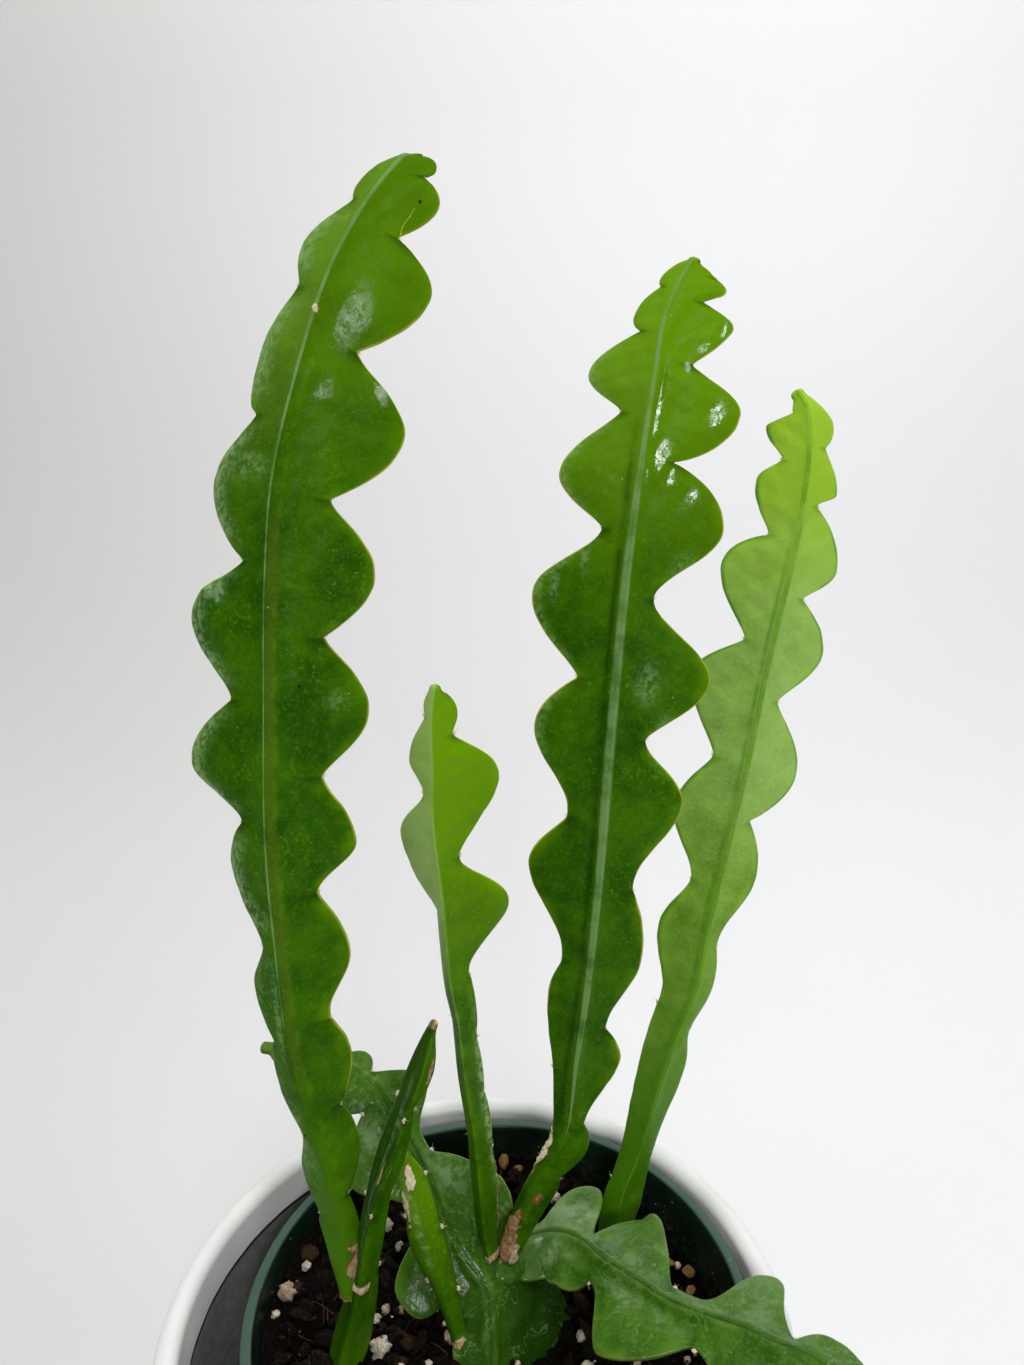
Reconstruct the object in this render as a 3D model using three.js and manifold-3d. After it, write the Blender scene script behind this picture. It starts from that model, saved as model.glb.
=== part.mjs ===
// Potted ric rac cactus: one plant of flat, lobed stems, rooted in a plastic nursery pot that
// stands inside a glazed outer pot. Millimetres, +Z up, origin at the centre of the outer pot's
// base. The plant and the pots are laid out from the centre of the outer pot's rim, so a height
// below is a height over that rim, and the whole is then raised by the pot's height.

import * as THREE from "three";
import { mergeVertices } from "three/addons/utils/BufferGeometryUtils.js";
import Module from "manifold-3d";

const wasm = await Module();
wasm.setup();

// Driving dimensions
const CLEARANCE = 0.3;

const OUTER_POT = {
  height: 156,
  rimRadius: 90,
  baseRadius: 73,
  wall: 7,
  floor: 9,
  baseChamfer: 2,
  lipDrop: 6,
  segments: 56,
};

const NURSERY_POT = {
  centre: [6, 5],
  rimRadius: 73.5,
  rimTop: -1.5,
  rimDepth: 9,
  lipWidth: 3.6,
  wall: 1.8,
  baseRadius: 52,
  holes: 6,
  holeRadius: 5,
  holeCircle: 36,
  segments: 48,
};

const SOIL = {
  height: -15,
  slopeX: -0.085,
  slopeY: 0.03,
  bumps: 1.3,
  chips: 32,
  seed: 7,
};

const COLOURS = {
  glaze: 0xe9e9e6,
  nursery: 0x2c5243,
  soil: 0x2b1d15,
  oldStem: 0x4f8a2c,
  matureStem: 0x3c7d12,
  youngStem: 0x5fa012,
  paleStem: 0x68a93a,
};

// Half the thickness of a wing beside the midrib and at its margin
const BLADE = {
  flankReach: 4,
  flankHalf: 1.6,
  marginHalf: 0.6,
};

// The stems. A spine is the midrib's path. Stations are millimetres along it from its first
// point, and a root goes on below that point into the soil. Each wing has an angle round the
// midrib, zero to the right and ninety to the front, a roll of its margin, and an edge: areole,
// lobe, areole, lobe and so on, each as a station and a reach from the midrib. A lobe's two more
// numbers are how lean its sides are below and above the crest: 1 is round, more is a slimmer
// lobe with hollow sides, less is a boxier one. A sweep carries the margin on towards the tip, by
// that share of its reach.
const STEMS = {
  stem_left_short: {
    colour: COLOURS.matureStem,
    facing: [0, -1, 0],
    root: 26,
    spine: [[-38, -8, -12], [-32.5, -5.5, 10], [-26.5, -2.5, 44], [-19.5, 0, 68], [-13, 1.5, 88.5],
      [-10.5, 2, 95.5]],
    rib: [[0, 3.6], [60, 2.8], [111, 1.4]],
    wings: [
      { angle: [[0, -25]], roll: [[0, 0]],
        edge: [[0, 5.4], [8, 6.2], [34, 3.6], [46, 4], [58, 3.6], [72, 4.9], [85, 2.7],
          [96, 5.2, 1, 1.6], [111, 1.2]] },
      { angle: [[0, 110], [60, 98], [72, 84], [100, 74]], roll: [[0, 0]],
        edge: [[0, 4], [20, 5.2], [54, 4], [68, 5.4], [84, 3.2], [97, 4.6], [111, 1.2]] },
      { angle: [[0, 205]], roll: [[0, 0.1]],
        edge: [[0, 5], [16, 5.2], [34, 3], [46, 3.7], [56, 3.4], [70, 3.9], [88, 2.8], [97, 2.7],
          [111, 1.2]] },
    ],
  },
  stem_left_tall: {
    colour: COLOURS.matureStem,
    facing: [0.2, -1, 0.2],
    root: 0,
    spine: [[-34.5, -5.5, 13], [-37.5, -1, 36], [-43.5, 3, 61], [-49, 6.5, 81.5], [-52.5, 13, 115.5],
      [-54, 18, 141], [-53.5, 25.5, 175.5], [-52.5, 32.5, 207], [-50, 38.5, 232.5], [-42, 46.5, 262.5],
      [-35.6, 52.3, 280.6], [-27.3, 57.5, 295.9], [-21.6, 60, 303.5], [-17.5, 62, 308]],
    rib: [[0, 3.6], [60, 3], [280, 2.4], [312, 1.3]],
    wings: [
      { angle: [[0, -4]], roll: [[0, 0]],
        edge: [[0, 4.6], [18, 4.8], [29, 3.6], [42, 10.4], [54, 8.4], [66, 15.4], [80, 11.8],
          [97, 19.2, 2.6, 1.4], [116, 12.2], [128, 23.2, 2, 1.4], [148, 14.6], [165, 27, 1.4, 1.4],
          [185, 15], [202, 27.8, 1, 1.4], [222, 14.8], [245, 30.2, 1, 1.4], [262, 12.8],
          [286, 25.2, 1, 0.9], [293, 10.8], [302, 14.8, 1.3, 1.2], [308, 6.6], [310.5, 7.4, 0.5, 1],
          [312.5, 3.2]],
        sweep: [[286, 0], [302, 0.45], [308, 0.78], [310.5, 0.95], [312.5, 1.3]] },
      { angle: [[0, 204]], roll: [[0, 0.05]],
        edge: [[0, 3.4], [20, 7.2, 2.6, 1.4], [24, 6], [36, 8.8, 1.4, 2], [49, 4], [62, 6.6, 2, 0.5],
          [76, 4.2], [91, 9, 1.4, 2], [103, 4], [123, 13, 2, 1], [136, 7.2], [150, 24.6, 2, 1],
          [168, 10], [190, 23.8, 1.4, 1.4], [204, 6.8], [222, 19.4, 1, 1.4], [240, 8.2],
          [257, 14, 0.5, 1.4], [273, 7], [284, 12, 1.4, 2], [297.5, 3.8], [303, 5.2, 0.7, 1],
          [312.5, 1.2]] },
    ],
  },
  stem_centre_broad: {
    colour: COLOURS.oldStem,
    facing: [0, -0.6, 0.8],
    root: 24,
    spine: [[3, -9, -16], [3, 1, -9], [1.5, 9.5, -2.5], [-6, 16.5, 5], [-12, 25, 12], [-17, 33.5, 19],
      [-28.5, 45, 31.5], [-38, 52, 38], [-54, 57.5, 42], [-72, 61, 42.5]],
    rib: [[0, 4], [40, 3.2], [128, 1.4]],
    wings: [
      { angle: [[0, -42], [20, -30], [34, -4], [128, 0]], roll: [[0, 0]],
        edge: [[0, 14], [14, 30], [26, 12], [47, 20.8, 1, 1.2], [64, 3.8], [82, 14.2, 6, 1.6],
          [94, 2.8], [97.5, 7, 0.6, 1.5], [104, 3.8], [114, 6.5], [124, 3], [126, 3], [128, 2]] },
      { angle: [[0, 190], [30, 178], [125, 178]], roll: [[0, 0]],
        edge: [[0, 9], [7, 10.5], [15, 9], [35, 22, 2, 2], [48, 7], [69, 22.4, 2, 0.9], [86, 7.8],
          [98, 14.5], [108, 5], [118, 8], [128, 2]] },
    ],
  },
  stem_front_short: {
    colour: COLOURS.youngStem,
    facing: [0.1, -0.9, 0.4],
    root: 0,
    spine: [[-5, 0, -13.5], [-8.5, 3.5, -4.5], [-12.5, 7.5, 8], [-16, 11, 19.5], [-18.8, 14.2, 29.5],
      [-20.8, 17, 39.5]],
    rib: [[0, 3], [30, 3.2], [58, 1.4]],
    wings: [
      { angle: [[0, -6]], roll: [[0, 0]],
        edge: [[0, 2.2], [7, 3.6], [15, 4.2], [24, 5], [34, 4.8], [42, 5], [51, 4.2], [53, 3.6],
          [57.5, 1.2]] },
      { angle: [[0, 174]], roll: [[0, 0]],
        edge: [[0, 1.9], [3, 2], [7.5, 2], [14, 2.2], [21, 2.9], [32, 5.1, 1.2, 1.2], [41, 3.8],
          [49, 3.7], [57.5, 1.2]] },
    ],
  },
  stem_small_upright: {
    colour: COLOURS.youngStem,
    facing: [0.04, -1, 0.14],
    root: 0,
    spine: [[3.5, 16, 2], [2, 17, 11.5], [0.5, 19.5, 28], [-1, 21.5, 44.5], [-3, 23.5, 60], [-5, 26, 79],
      [-7, 27.5, 89.5], [-9, 30.5, 109.5], [-10.5, 32.5, 124], [-12, 34.5, 138.5], [-12, 36.5, 153],
      [-12, 38.5, 168], [-11, 39.5, 175]],
    rib: [[0, 2.7], [70, 3], [110, 2.4], [176, 1.2]],
    wings: [
      { angle: [[0, -36]], roll: [[0, 0]],
        edge: [[0, 2.8], [18, 5.2, 1, 0.6], [35, 5.2], [46, 6, 0.6, 0.6], [54, 4.8], [61, 5.8, 0.5, 1],
          [71, 4.8], [84, 6.6, 1, 0.5], [90, 6], [107, 23.6, 3.2, 2], [126, 7.2], [148, 23.6, 1.4, 1.4],
          [162, 7.2], [170, 8.6, 1.4, 0.5], [175, 2]] },
      { angle: [[0, 230], [100, 235], [120, 215], [176, 205]], roll: [[0, 0], [110, 0.1]],
        edge: [[0, 2.6], [24, 3.8], [40, 3.2], [60, 4], [78, 3.4], [94, 4], [112, 2.4], [133, 13, 1, 2],
          [146, 2.8], [155, 7.8, 2, 1.4], [168, 1.8], [171, 2.6], [175, 1.6]] },
    ],
  },
  stem_centre_tall: {
    colour: COLOURS.matureStem,
    facing: [-0.08, -1, 0.21],
    root: 0,
    spine: [[9, 17, 1], [12, 18.5, 10], [15.5, 20.5, 19.5], [21, 22, 31], [26.5, 24.5, 43.5],
      [29, 28.5, 63.5], [31.5, 32, 81.5], [35, 39, 116], [38, 47.5, 158.5], [41.5, 56, 199.5],
      [44.5, 61, 225.5], [49, 67.5, 257.5], [51, 70, 270], [54, 71.5, 278], [58.1, 72.8, 284.9]],
    rib: [[0, 2.8], [40, 3.2], [250, 2.5], [295, 1.2]],
    wings: [
      { angle: [[0, -6]], roll: [[0, 0]],
        edge: [[0, 2.8], [24, 6, 2.6, 0.5], [30, 4.8], [42, 8.4, 1.4, 1], [48, 4.6], [68, 13, 2.6, 1],
          [78, 7], [99, 15, 2.6, 1], [120, 10], [146, 22.4, 2.6, 2], [164, 10], [182, 26.8, 1.4, 2],
          [204, 8.4], [225, 25.6, 2, 0.7], [242, 8], [257, 25.3, 0.7, 1.1], [268, 9.8],
          [278.5, 19.2, 1.3, 0.8], [285.7, 8.2], [290.8, 12.6, 1.2, 0.7], [293.4, 7.6],
          [294.5, 6, 0.5, 0.8], [295.6, 2.4]],
        sweep: [[265, 0], [280, 0.15], [295.6, 0.3]] },
      { angle: [[0, 188]], roll: [[0, 0], [180, 0.04]],
        edge: [[0, 2.8], [12, 3.6, 0.5, 0.5], [41, 3.2], [52, 5.4, 0.5, 2.6], [64, 6.8],
          [85, 11.4, 1.4, 1.4], [97, 8.4], [124, 21.4, 2.6, 1.4], [140, 10.8], [165, 22.4, 2.6, 1],
          [180, 11], [203, 26.6, 1.4, 2], [222, 8.4], [236, 22.8, 1.4, 1.4], [254, 7.6],
          [263, 18.2, 1.4, 1], [275.6, 5.2], [279, 8.2, 0.5, 1.3], [287, 3.8], [289.5, 4.8, 0.6, 0.7],
          [295.6, 1]] },
    ],
  },
  stem_right: {
    colour: COLOURS.paleStem,
    facing: [-0.2, -1, 0.21],
    root: 26,
    spine: [[43, 41.5, -17], [46, 44.5, -0.5], [51, 46.5, 14], [55.5, 49, 31.5], [60.5, 52, 48.5],
      [67.5, 54.5, 69], [72, 59, 94], [81, 66.5, 137.5], [87.5, 73, 174.5], [94, 78.5, 207],
      [96, 81.5, 223], [97, 84, 237], [96, 86, 246], [93.5, 87.5, 250]],
    rib: [[0, 3.8], [60, 3.2], [230, 2.3], [278, 1.2]],
    wings: [
      { angle: [[0, -25]], roll: [[0, 0]],
        edge: [[0, 5.4], [14, 8, 1.5, 1.5], [32, 5.2], [64, 7.4, 2.6, 2], [78, 3.6], [93, 6.2, 2.6, 1],
          [106, 4.4], [129, 13, 2.6, 1], [148, 5.6], [164, 18.2, 1, 1.4], [186, 6.2], [202, 18, 1.4, 1],
          [218, 6.6], [228, 16, 1.4, 1], [245, 5.2], [249, 11.4, 2.6, 1.4], [262, 5.4],
          [268, 8, 0.7, 2.6], [277, 2]] },
      { angle: [[0, 186]], roll: [[0, 0]],
        edge: [[0, 4.6], [10, 5.2], [20, 4.4], [66, 8.2, 2.6, 0.5], [82, 9.2], [109, 15, 2.6, 2],
          [126, 8.2], [147, 18.6, 2, 1.4], [166, 10.2], [191, 21, 1.4, 1.4], [203, 8],
          [224, 20, 1.4, 0.7], [235, 8], [251, 14, 1.4, 1.4], [258, 7.2], [270, 12, 1.4, 0.5],
          [273, 3.6], [275, 3.6], [277, 2]] },
    ],
  },
  stem_trailing: {
    colour: COLOURS.oldStem,
    facing: [0, -0.2, 1],
    root: 0,
    spine: [[8, 19.5, -2], [16.5, 25, -0.5], [24.8, 25, 0.6], [31, 21.4, 1.6], [37, 14, 2.5],
      [47.3, 4.6, 3.6], [55, -2.2, 4.6], [63, -7, 5.6], [73, -12, 6.8], [80, -16.6, 7.6],
      [89.5, -21, 7.6], [99, -26, 4], [108, -31, -2], [116, -36, -10], [122, -40, -19]],
    rib: [[0, 3], [30, 3], [150, 1.3]],
    wings: [
      { angle: [[0, -6]], roll: [[0, 0]],
        edge: [[0, 8], [30, 14.6, 0.6, 0.5], [36.5, 7.2], [50, 22.6, 2.4, 1.9], [70, 9],
          [90, 21, 1.5, 1.5], [104, 8], [119, 17, 1.5, 1.5], [131, 5], [138, 8], [146, 1.6]] },
      { angle: [[0, 184]], roll: [[0, 0]],
        edge: [[0, 3], [9, 3.6], [12, 4], [22, 20.6, 2.4, 2.8], [28, 5], [38, 23.6, 0.5, 1.7],
          [58.5, 5], [83, 19.8, 7.5, 1.8], [95, 3], [105, 9.2, 1.1, 1.5], [120, 4], [131, 9, 1.5, 1.5],
          [146, 1.6]] },
    ],
  },
};

// The knuckle where the broad stem's old tip swelled and sent out four younger stems
const KNUCKLE = { centre: [6, 17, -3], radii: [8.5, 6.5, 4.6] };

// Which stem's foot is let into which older one
const SPROUTS = [
  ["stem_left_tall", "stem_left_short"],
  ["stem_front_short", "stem_centre_broad"],
  ["stem_trailing", "stem_centre_broad"],
  ["stem_centre_tall", "stem_centre_broad"],
  ["stem_centre_tall", "stem_trailing"],
  ["stem_small_upright", "stem_centre_broad"],
  ["stem_small_upright", "stem_centre_tall"],
  ["stem_small_upright", "stem_trailing"],
];
const IN_SOIL = ["stem_left_short", "stem_centre_broad", "stem_front_short", "stem_right", "stem_trailing"];

// Value at a station in a table of station and value pairs
function tableAt(table, station) {
  if (station <= table[0][0]) {
    return table[0][1];
  }
  for (let i = 1; i < table.length; i += 1) {
    const [end, endValue] = table[i];
    if (station <= end) {
      const [start, startValue] = table[i - 1];
      return THREE.MathUtils.lerp(startValue, endValue, (station - start) / (end - start));
    }
  }
  return table[table.length - 1][1];
}

function clamp01(value) {
  return Math.min(Math.max(value, 0), 1);
}

// Reach of a wing at a station: a straight line between two areoles plus the lobe over it
function reachAt(edge, station) {
  if (station <= edge[0][0]) {
    return edge[0][1];
  }
  for (let i = 0; i + 2 < edge.length; i += 2) {
    const [start, startReach] = edge[i];
    const [crest, crestReach, leanBelow = 1, leanAbove = 1] = edge[i + 1];
    const [end, endReach] = edge[i + 2];
    if (station <= end) {
      const along = (station - start) / (end - start);
      const peak = (crest - start) / (end - start);
      const base = THREE.MathUtils.lerp(startReach, endReach, along);
      const lift = crestReach - THREE.MathUtils.lerp(startReach, endReach, peak);
      const rising = along < peak;
      const off = rising ? 1 - along / peak : (along - peak) / (1 - peak);
      return base + lift * (1 - off ** 2) ** (rising ? leanBelow : leanAbove);
    }
  }
  return edge[edge.length - 1][1];
}

function spineOf(stem) {
  const points = stem.spine.map((place) => new THREE.Vector3(...place));
  if (stem.root > 0) {
    const down = points[0].clone().sub(points[1]).normalize();
    points.unshift(points[0].clone().addScaledVector(down, stem.root));
  }
  const curve = new THREE.CatmullRomCurve3(points, false, "centripetal");
  curve.arcLengthDivisions = 600;
  return curve;
}

function frameAt(stem, curve, station) {
  const share = clamp01((station + stem.root) / curve.getLength());
  const point = curve.getPointAt(share);
  const along = curve.getTangentAt(share);
  const front = new THREE.Vector3(...stem.facing);
  front.addScaledVector(along, -front.dot(along)).normalize();
  const right = new THREE.Vector3().crossVectors(along, front);
  return { point, along, front, right };
}

function directionAt(frame, degrees) {
  const angle = THREE.MathUtils.degToRad(degrees);
  return frame.right.clone().multiplyScalar(Math.cos(angle)).addScaledVector(frame.front, Math.sin(angle));
}

// Stations that the outline needs: each areole, the swelling over it, the lobe's crest and the
// way back
function stationsOf(stem, length) {
  const wanted = new Set([-stem.root, length]);
  for (let station = 30; station < length; station += 12) {
    wanted.add(station);
  }
  const sharp = new Set();
  for (const wing of stem.wings) {
    for (let i = 0; i + 2 < wing.edge.length; i += 2) {
      const start = wing.edge[i][0];
      const crest = wing.edge[i + 1][0];
      const end = wing.edge[i + 2][0];
      sharp.add(start);
      sharp.add(crest);
      sharp.add(end);
      const rise = crest - start;
      const fall = end - crest;
      for (const station of [start + rise * 0.2, start + rise * 0.5, crest + fall * 0.5]) {
        wanted.add(Math.round(station));
      }
      if (fall < rise) {
        wanted.add(Math.round(crest + fall * 0.8));
      }
    }
  }
  const kept = [...sharp].filter((station) => station < length - 1);
  for (const station of wanted) {
    if (kept.every((other) => Math.abs(other - station) > 2)) {
      kept.push(station);
    }
  }
  return kept.sort((a, b) => a - b);
}

// One cross-section. Round each wing it runs from the valley before it, out along one face and
// back along the other, and the whole ring is turned round to run anticlockwise seen from the
// tip. Every wing gives the same points, so both faces can split alike.
function sectionAt(stem, curve, station, grow) {
  const frame = frameAt(stem, curve, station);
  const rib = tableAt(stem.rib, station) + grow;
  const wings = stem.wings;
  const angles = wings.map((wing) => tableAt(wing.angle, station));
  const points = [];
  wings.forEach((wing, index) => {
    const before = index > 0 ? angles[index - 1] : angles[wings.length - 1] - 360;
    const valley = directionAt(frame, (before + angles[index]) / 2);
    points.push(frame.point.clone().addScaledVector(valley, wings.length > 2 ? rib * 0.85 : rib));
    const reach = reachAt(wing.edge, station) + grow;
    const out = directionAt(frame, angles[index]);
    const normal = directionAt(frame, angles[index] + 90);
    const roll = tableAt(wing.roll, station);
    const sweep = wing.sweep ? tableAt(wing.sweep, station) : 0;
    const flank = Math.min(BLADE.flankReach, reach * 0.45);
    const half = Math.min(BLADE.flankHalf + (rib - 2.5) * 0.5, rib * 0.8);
    const profile = [
      [flank, half + grow],
      [reach, BLADE.marginHalf + grow],
    ];
    const place = ([distance, thick], side) => {
      const bent = roll * distance * (distance / reach);
      const spot = frame.point.clone().addScaledVector(out, distance);
      spot.addScaledVector(normal, bent + side * thick);
      return spot.addScaledVector(frame.along, sweep * distance);
    };
    profile.forEach((row) => points.push(place(row, -1)));
    [...profile].reverse().forEach((row) => points.push(place(row, 1)));
  });
  return points.reverse();
}

// Closed skin over a row of rings, with a fan at each end. Where turned is true for a column, its
// quads split along the other diagonal.
function skinOver(rings, turned) {
  const count = rings[0].length;
  const positions = rings.flat().flatMap((point) => [point.x, point.y, point.z]);
  const triangles = [];
  for (let row = 0; row + 1 < rings.length; row += 1) {
    for (let column = 0; column < count; column += 1) {
      const next = (column + 1) % count;
      const a = row * count + column;
      const b = row * count + next;
      const c = a + count;
      const d = b + count;
      if (turned(column)) {
        triangles.push(a, b, c, b, d, c);
      } else {
        triangles.push(a, b, d, a, d, c);
      }
    }
  }
  for (const row of [0, rings.length - 1]) {
    const middle = new THREE.Vector3();
    rings[row].forEach((point) => middle.addScaledVector(point, 1 / count));
    const hub = positions.length / 3;
    positions.push(middle.x, middle.y, middle.z);
    for (let column = 0; column < count; column += 1) {
      const a = row * count + column;
      const b = row * count + ((column + 1) % count);
      triangles.push(...(row === 0 ? [hub, b, a] : [hub, a, b]));
    }
  }
  return solidFrom(positions, triangles);
}

function solidFrom(positions, triangles) {
  return new wasm.Manifold(new wasm.Mesh({
    numProp: 3,
    vertProperties: Float32Array.from(positions),
    triVerts: Uint32Array.from(triangles),
  }));
}

function solidFromGeometry(geometry) {
  const bare = geometry.clone();
  bare.deleteAttribute("normal");
  bare.deleteAttribute("uv");
  const merged = mergeVertices(bare, 1e-4);
  const kept = [];
  for (let i = 0; i < merged.index.count; i += 3) {
    const [a, b, c] = [0, 1, 2].map((k) => merged.index.getX(i + k));
    if (a !== b && b !== c && a !== c) {
      kept.push(a, b, c);
    }
  }
  return solidFrom(merged.attributes.position.array, kept);
}

function stemSolid(stem, grow) {
  const curve = spineOf(stem);
  const length = curve.getLength() - stem.root;
  const rings = stationsOf(stem, length).map((station) => sectionAt(stem, curve, station, grow));
  const perWing = 5;
  return skinOver(rings, (column) => column % perWing === 2 || column % perWing === 3);
}

// A stem's solid, swollen by a gap on every side
function shapeOf(name, grow) {
  const solid = stemSolid(STEMS[name], grow);
  if (name !== "stem_centre_broad") {
    return solid;
  }
  const knuckle = new THREE.IcosahedronGeometry(1, 2);
  knuckle.scale(...KNUCKLE.radii.map((radius) => radius + grow));
  knuckle.translate(...KNUCKLE.centre);
  return solid.add(solidFromGeometry(knuckle));
}

function largestBody(solid) {
  return solid.decompose().sort((a, b) => b.volume() - a.volume())[0];
}

// Solid of revolution from a profile of radius and height pairs, both ends on the axis
function lathed(profile, segments) {
  const geometry = new THREE.LatheGeometry(profile.map(([r, z]) => new THREE.Vector2(r, z)), segments);
  geometry.rotateX(Math.PI / 2);
  return solidFromGeometry(geometry);
}

function outerPot() {
  const pot = OUTER_POT;
  const bottom = -pot.height;
  const shoulder = pot.rimRadius - 0.6;
  const inside = pot.rimRadius - pot.wall;
  const floorRadius = pot.baseRadius - pot.wall;
  return lathed([
    [0, bottom],
    [pot.baseRadius - pot.baseChamfer, bottom],
    [pot.baseRadius, bottom + pot.baseChamfer],
    [shoulder, -2 * pot.lipDrop],
    [pot.rimRadius, -0.6 * pot.lipDrop],
    [pot.rimRadius - 1, -0.2 * pot.lipDrop],
    [pot.rimRadius - 2.6, 0],
    [inside + 2.2, 0],
    [inside + 0.6, -0.2 * pot.lipDrop],
    [inside, -0.6 * pot.lipDrop],
    [inside, -2 * pot.lipDrop],
    [floorRadius, bottom + pot.floor + 6],
    [floorRadius - 6, bottom + pot.floor],
    [0, bottom + pot.floor],
  ], pot.segments);
}

// Inner radius of the nursery pot's wall at a height
function nurseryInside(height) {
  const pot = NURSERY_POT;
  const bottom = nurseryBottom();
  const share = (height - bottom) / (pot.rimTop - bottom);
  const slope = THREE.MathUtils.lerp(pot.baseRadius, pot.rimRadius - pot.lipWidth, share);
  return slope - pot.wall * (1 - share) ** 4;
}

function nurseryBottom() {
  return -OUTER_POT.height + OUTER_POT.floor + CLEARANCE;
}

function nurseryPot() {
  const pot = NURSERY_POT;
  const bottom = nurseryBottom();
  const underRim = pot.rimTop - pot.rimDepth;
  const inside = (height) => nurseryInside(height);
  const floorTop = bottom + pot.wall;
  let solid = lathed([
    [0, bottom],
    [pot.baseRadius - 1, bottom],
    [pot.baseRadius + 0.3, bottom + 1],
    [inside(underRim) + pot.wall, underRim],
    [pot.rimRadius - 0.7, underRim],
    [pot.rimRadius, pot.rimTop - 1],
    [pot.rimRadius - 0.6, pot.rimTop],
    [pot.rimRadius - pot.lipWidth + 0.6, pot.rimTop],
    [inside(pot.rimTop - 1), pot.rimTop - 1],
    [inside(underRim), underRim],
    [inside(floorTop), floorTop],
    [0, floorTop],
  ], pot.segments);
  for (let i = 0; i < pot.holes; i += 1) {
    const angle = (2 * Math.PI * i) / pot.holes;
    const hole = new THREE.CylinderGeometry(pot.holeRadius, pot.holeRadius, 4 * pot.wall, 12);
    hole.rotateX(Math.PI / 2);
    hole.translate(pot.holeCircle * Math.cos(angle), pot.holeCircle * Math.sin(angle), bottom);
    solid = solid.subtract(solidFromGeometry(hole));
  }
  return solid.translate([...pot.centre, 0]);
}

// Repeatable draws between 0 and 1
function drawer(seed) {
  let state = seed;
  return () => {
    state = (state * 1664525 + 1013904223) % 4294967296;
    return state / 4294967296;
  };
}

// Height of the soil's surface, which slopes down to the right and is a little uneven
function soilHeight(x, y) {
  const uneven = Math.sin(x * 0.19 + 1) * Math.cos(y * 0.23) + 0.5 * Math.sin(x * 0.41 - y * 0.37);
  return SOIL.height + SOIL.slopeX * x + SOIL.slopeY * y + SOIL.bumps * uneven;
}

// Bark chips and perlite grains lie half sunk in the soil
function soilChips() {
  const draw = drawer(SOIL.seed);
  const chips = [];
  while (chips.length < SOIL.chips) {
    const radius = 60 * Math.sqrt(draw());
    const angle = 2 * Math.PI * draw();
    const x = NURSERY_POT.centre[0] + radius * Math.cos(angle);
    const y = NURSERY_POT.centre[1] + radius * Math.sin(angle);
    const bark = draw() < 0.6;
    const size = bark ? 3.5 + 4 * draw() : 1.8 + 1.4 * draw();
    const chip = bark
      ? new THREE.BoxGeometry(size * 1.6, size, size * 0.6)
      : new THREE.OctahedronGeometry(size);
    chip.rotateX(0.5 * draw() - 0.25);
    chip.rotateY(0.5 * draw() - 0.25);
    chip.rotateZ(2 * Math.PI * draw());
    chip.translate(x, y, soilHeight(x, y) + (bark ? 0.15 * size : 0.25 * size));
    chips.push(solidFromGeometry(chip));
  }
  return chips;
}

function soil() {
  const [cx, cy] = NURSERY_POT.centre;
  const floorTop = nurseryBottom() + NURSERY_POT.wall + CLEARANCE;
  const segments = NURSERY_POT.segments;
  const ring = (radiusOf, heightOf) => Array.from({ length: segments }, (unused, i) => {
    const angle = (2 * Math.PI * i) / segments;
    const radius = radiusOf(angle);
    const x = cx + radius * Math.cos(angle);
    const y = cy + radius * Math.sin(angle);
    return new THREE.Vector3(x, y, heightOf(x, y));
  });
  const wallRadius = (height) => nurseryInside(height) * Math.cos(Math.PI / segments) - 2 * CLEARANCE;
  const edgeRadius = (angle) => {
    const reach = 66;
    return wallRadius(soilHeight(cx + reach * Math.cos(angle), cy + reach * Math.sin(angle)));
  };
  const rings = [ring(() => wallRadius(floorTop), () => floorTop), ring(edgeRadius, soilHeight)];
  for (const share of [0.75, 0.45, 0.12]) {
    rings.push(ring((angle) => share * edgeRadius(angle), soilHeight));
  }
  let solid = skinOver(rings, () => false);
  for (const chip of soilChips()) {
    solid = solid.add(chip);
  }
  for (const name of IN_SOIL) {
    solid = solid.subtract(shapeOf(name, CLEARANCE));
  }
  return largestBody(solid);
}

// Every stem as a solid, the younger ones cut off where their feet meet an older one
function stemSolids() {
  const solids = {};
  for (const name of Object.keys(STEMS)) {
    solids[name] = shapeOf(name, 0);
  }
  for (const [younger, older] of SPROUTS) {
    const cut = shapeOf(older, CLEARANCE).add(solids[older]);
    solids[younger] = largestBody(solids[younger].subtract(cut));
  }
  return solids;
}

function meshOf(name, solid, colour, roughness) {
  const { vertProperties, triVerts, numProp } = solid.getMesh();
  const positions = new Float32Array((vertProperties.length / numProp) * 3);
  for (let i = 0; i * numProp < vertProperties.length; i += 1) {
    positions.set(vertProperties.subarray(i * numProp, i * numProp + 3), i * 3);
  }
  const geometry = new THREE.BufferGeometry();
  geometry.setAttribute("position", new THREE.BufferAttribute(positions, 3));
  geometry.setIndex(new THREE.BufferAttribute(new Uint32Array(triVerts), 1));
  geometry.computeVertexNormals();
  const material = new THREE.MeshStandardMaterial({ color: colour, roughness, metalness: 0 });
  const mesh = new THREE.Mesh(geometry, material);
  mesh.name = name;
  return mesh;
}

const layout = new THREE.Group();
layout.position.z = OUTER_POT.height;
layout.add(meshOf("outer_pot", outerPot(), COLOURS.glaze, 0.2));
layout.add(meshOf("nursery_pot", nurseryPot(), COLOURS.nursery, 0.5));
layout.add(meshOf("soil", soil(), COLOURS.soil, 0.95));
for (const [name, solid] of Object.entries(stemSolids())) {
  layout.add(meshOf(name, solid, STEMS[name].colour, 0.4));
}

const pottedCactus = new THREE.Group();
pottedCactus.add(layout);

export default pottedCactus;
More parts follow.
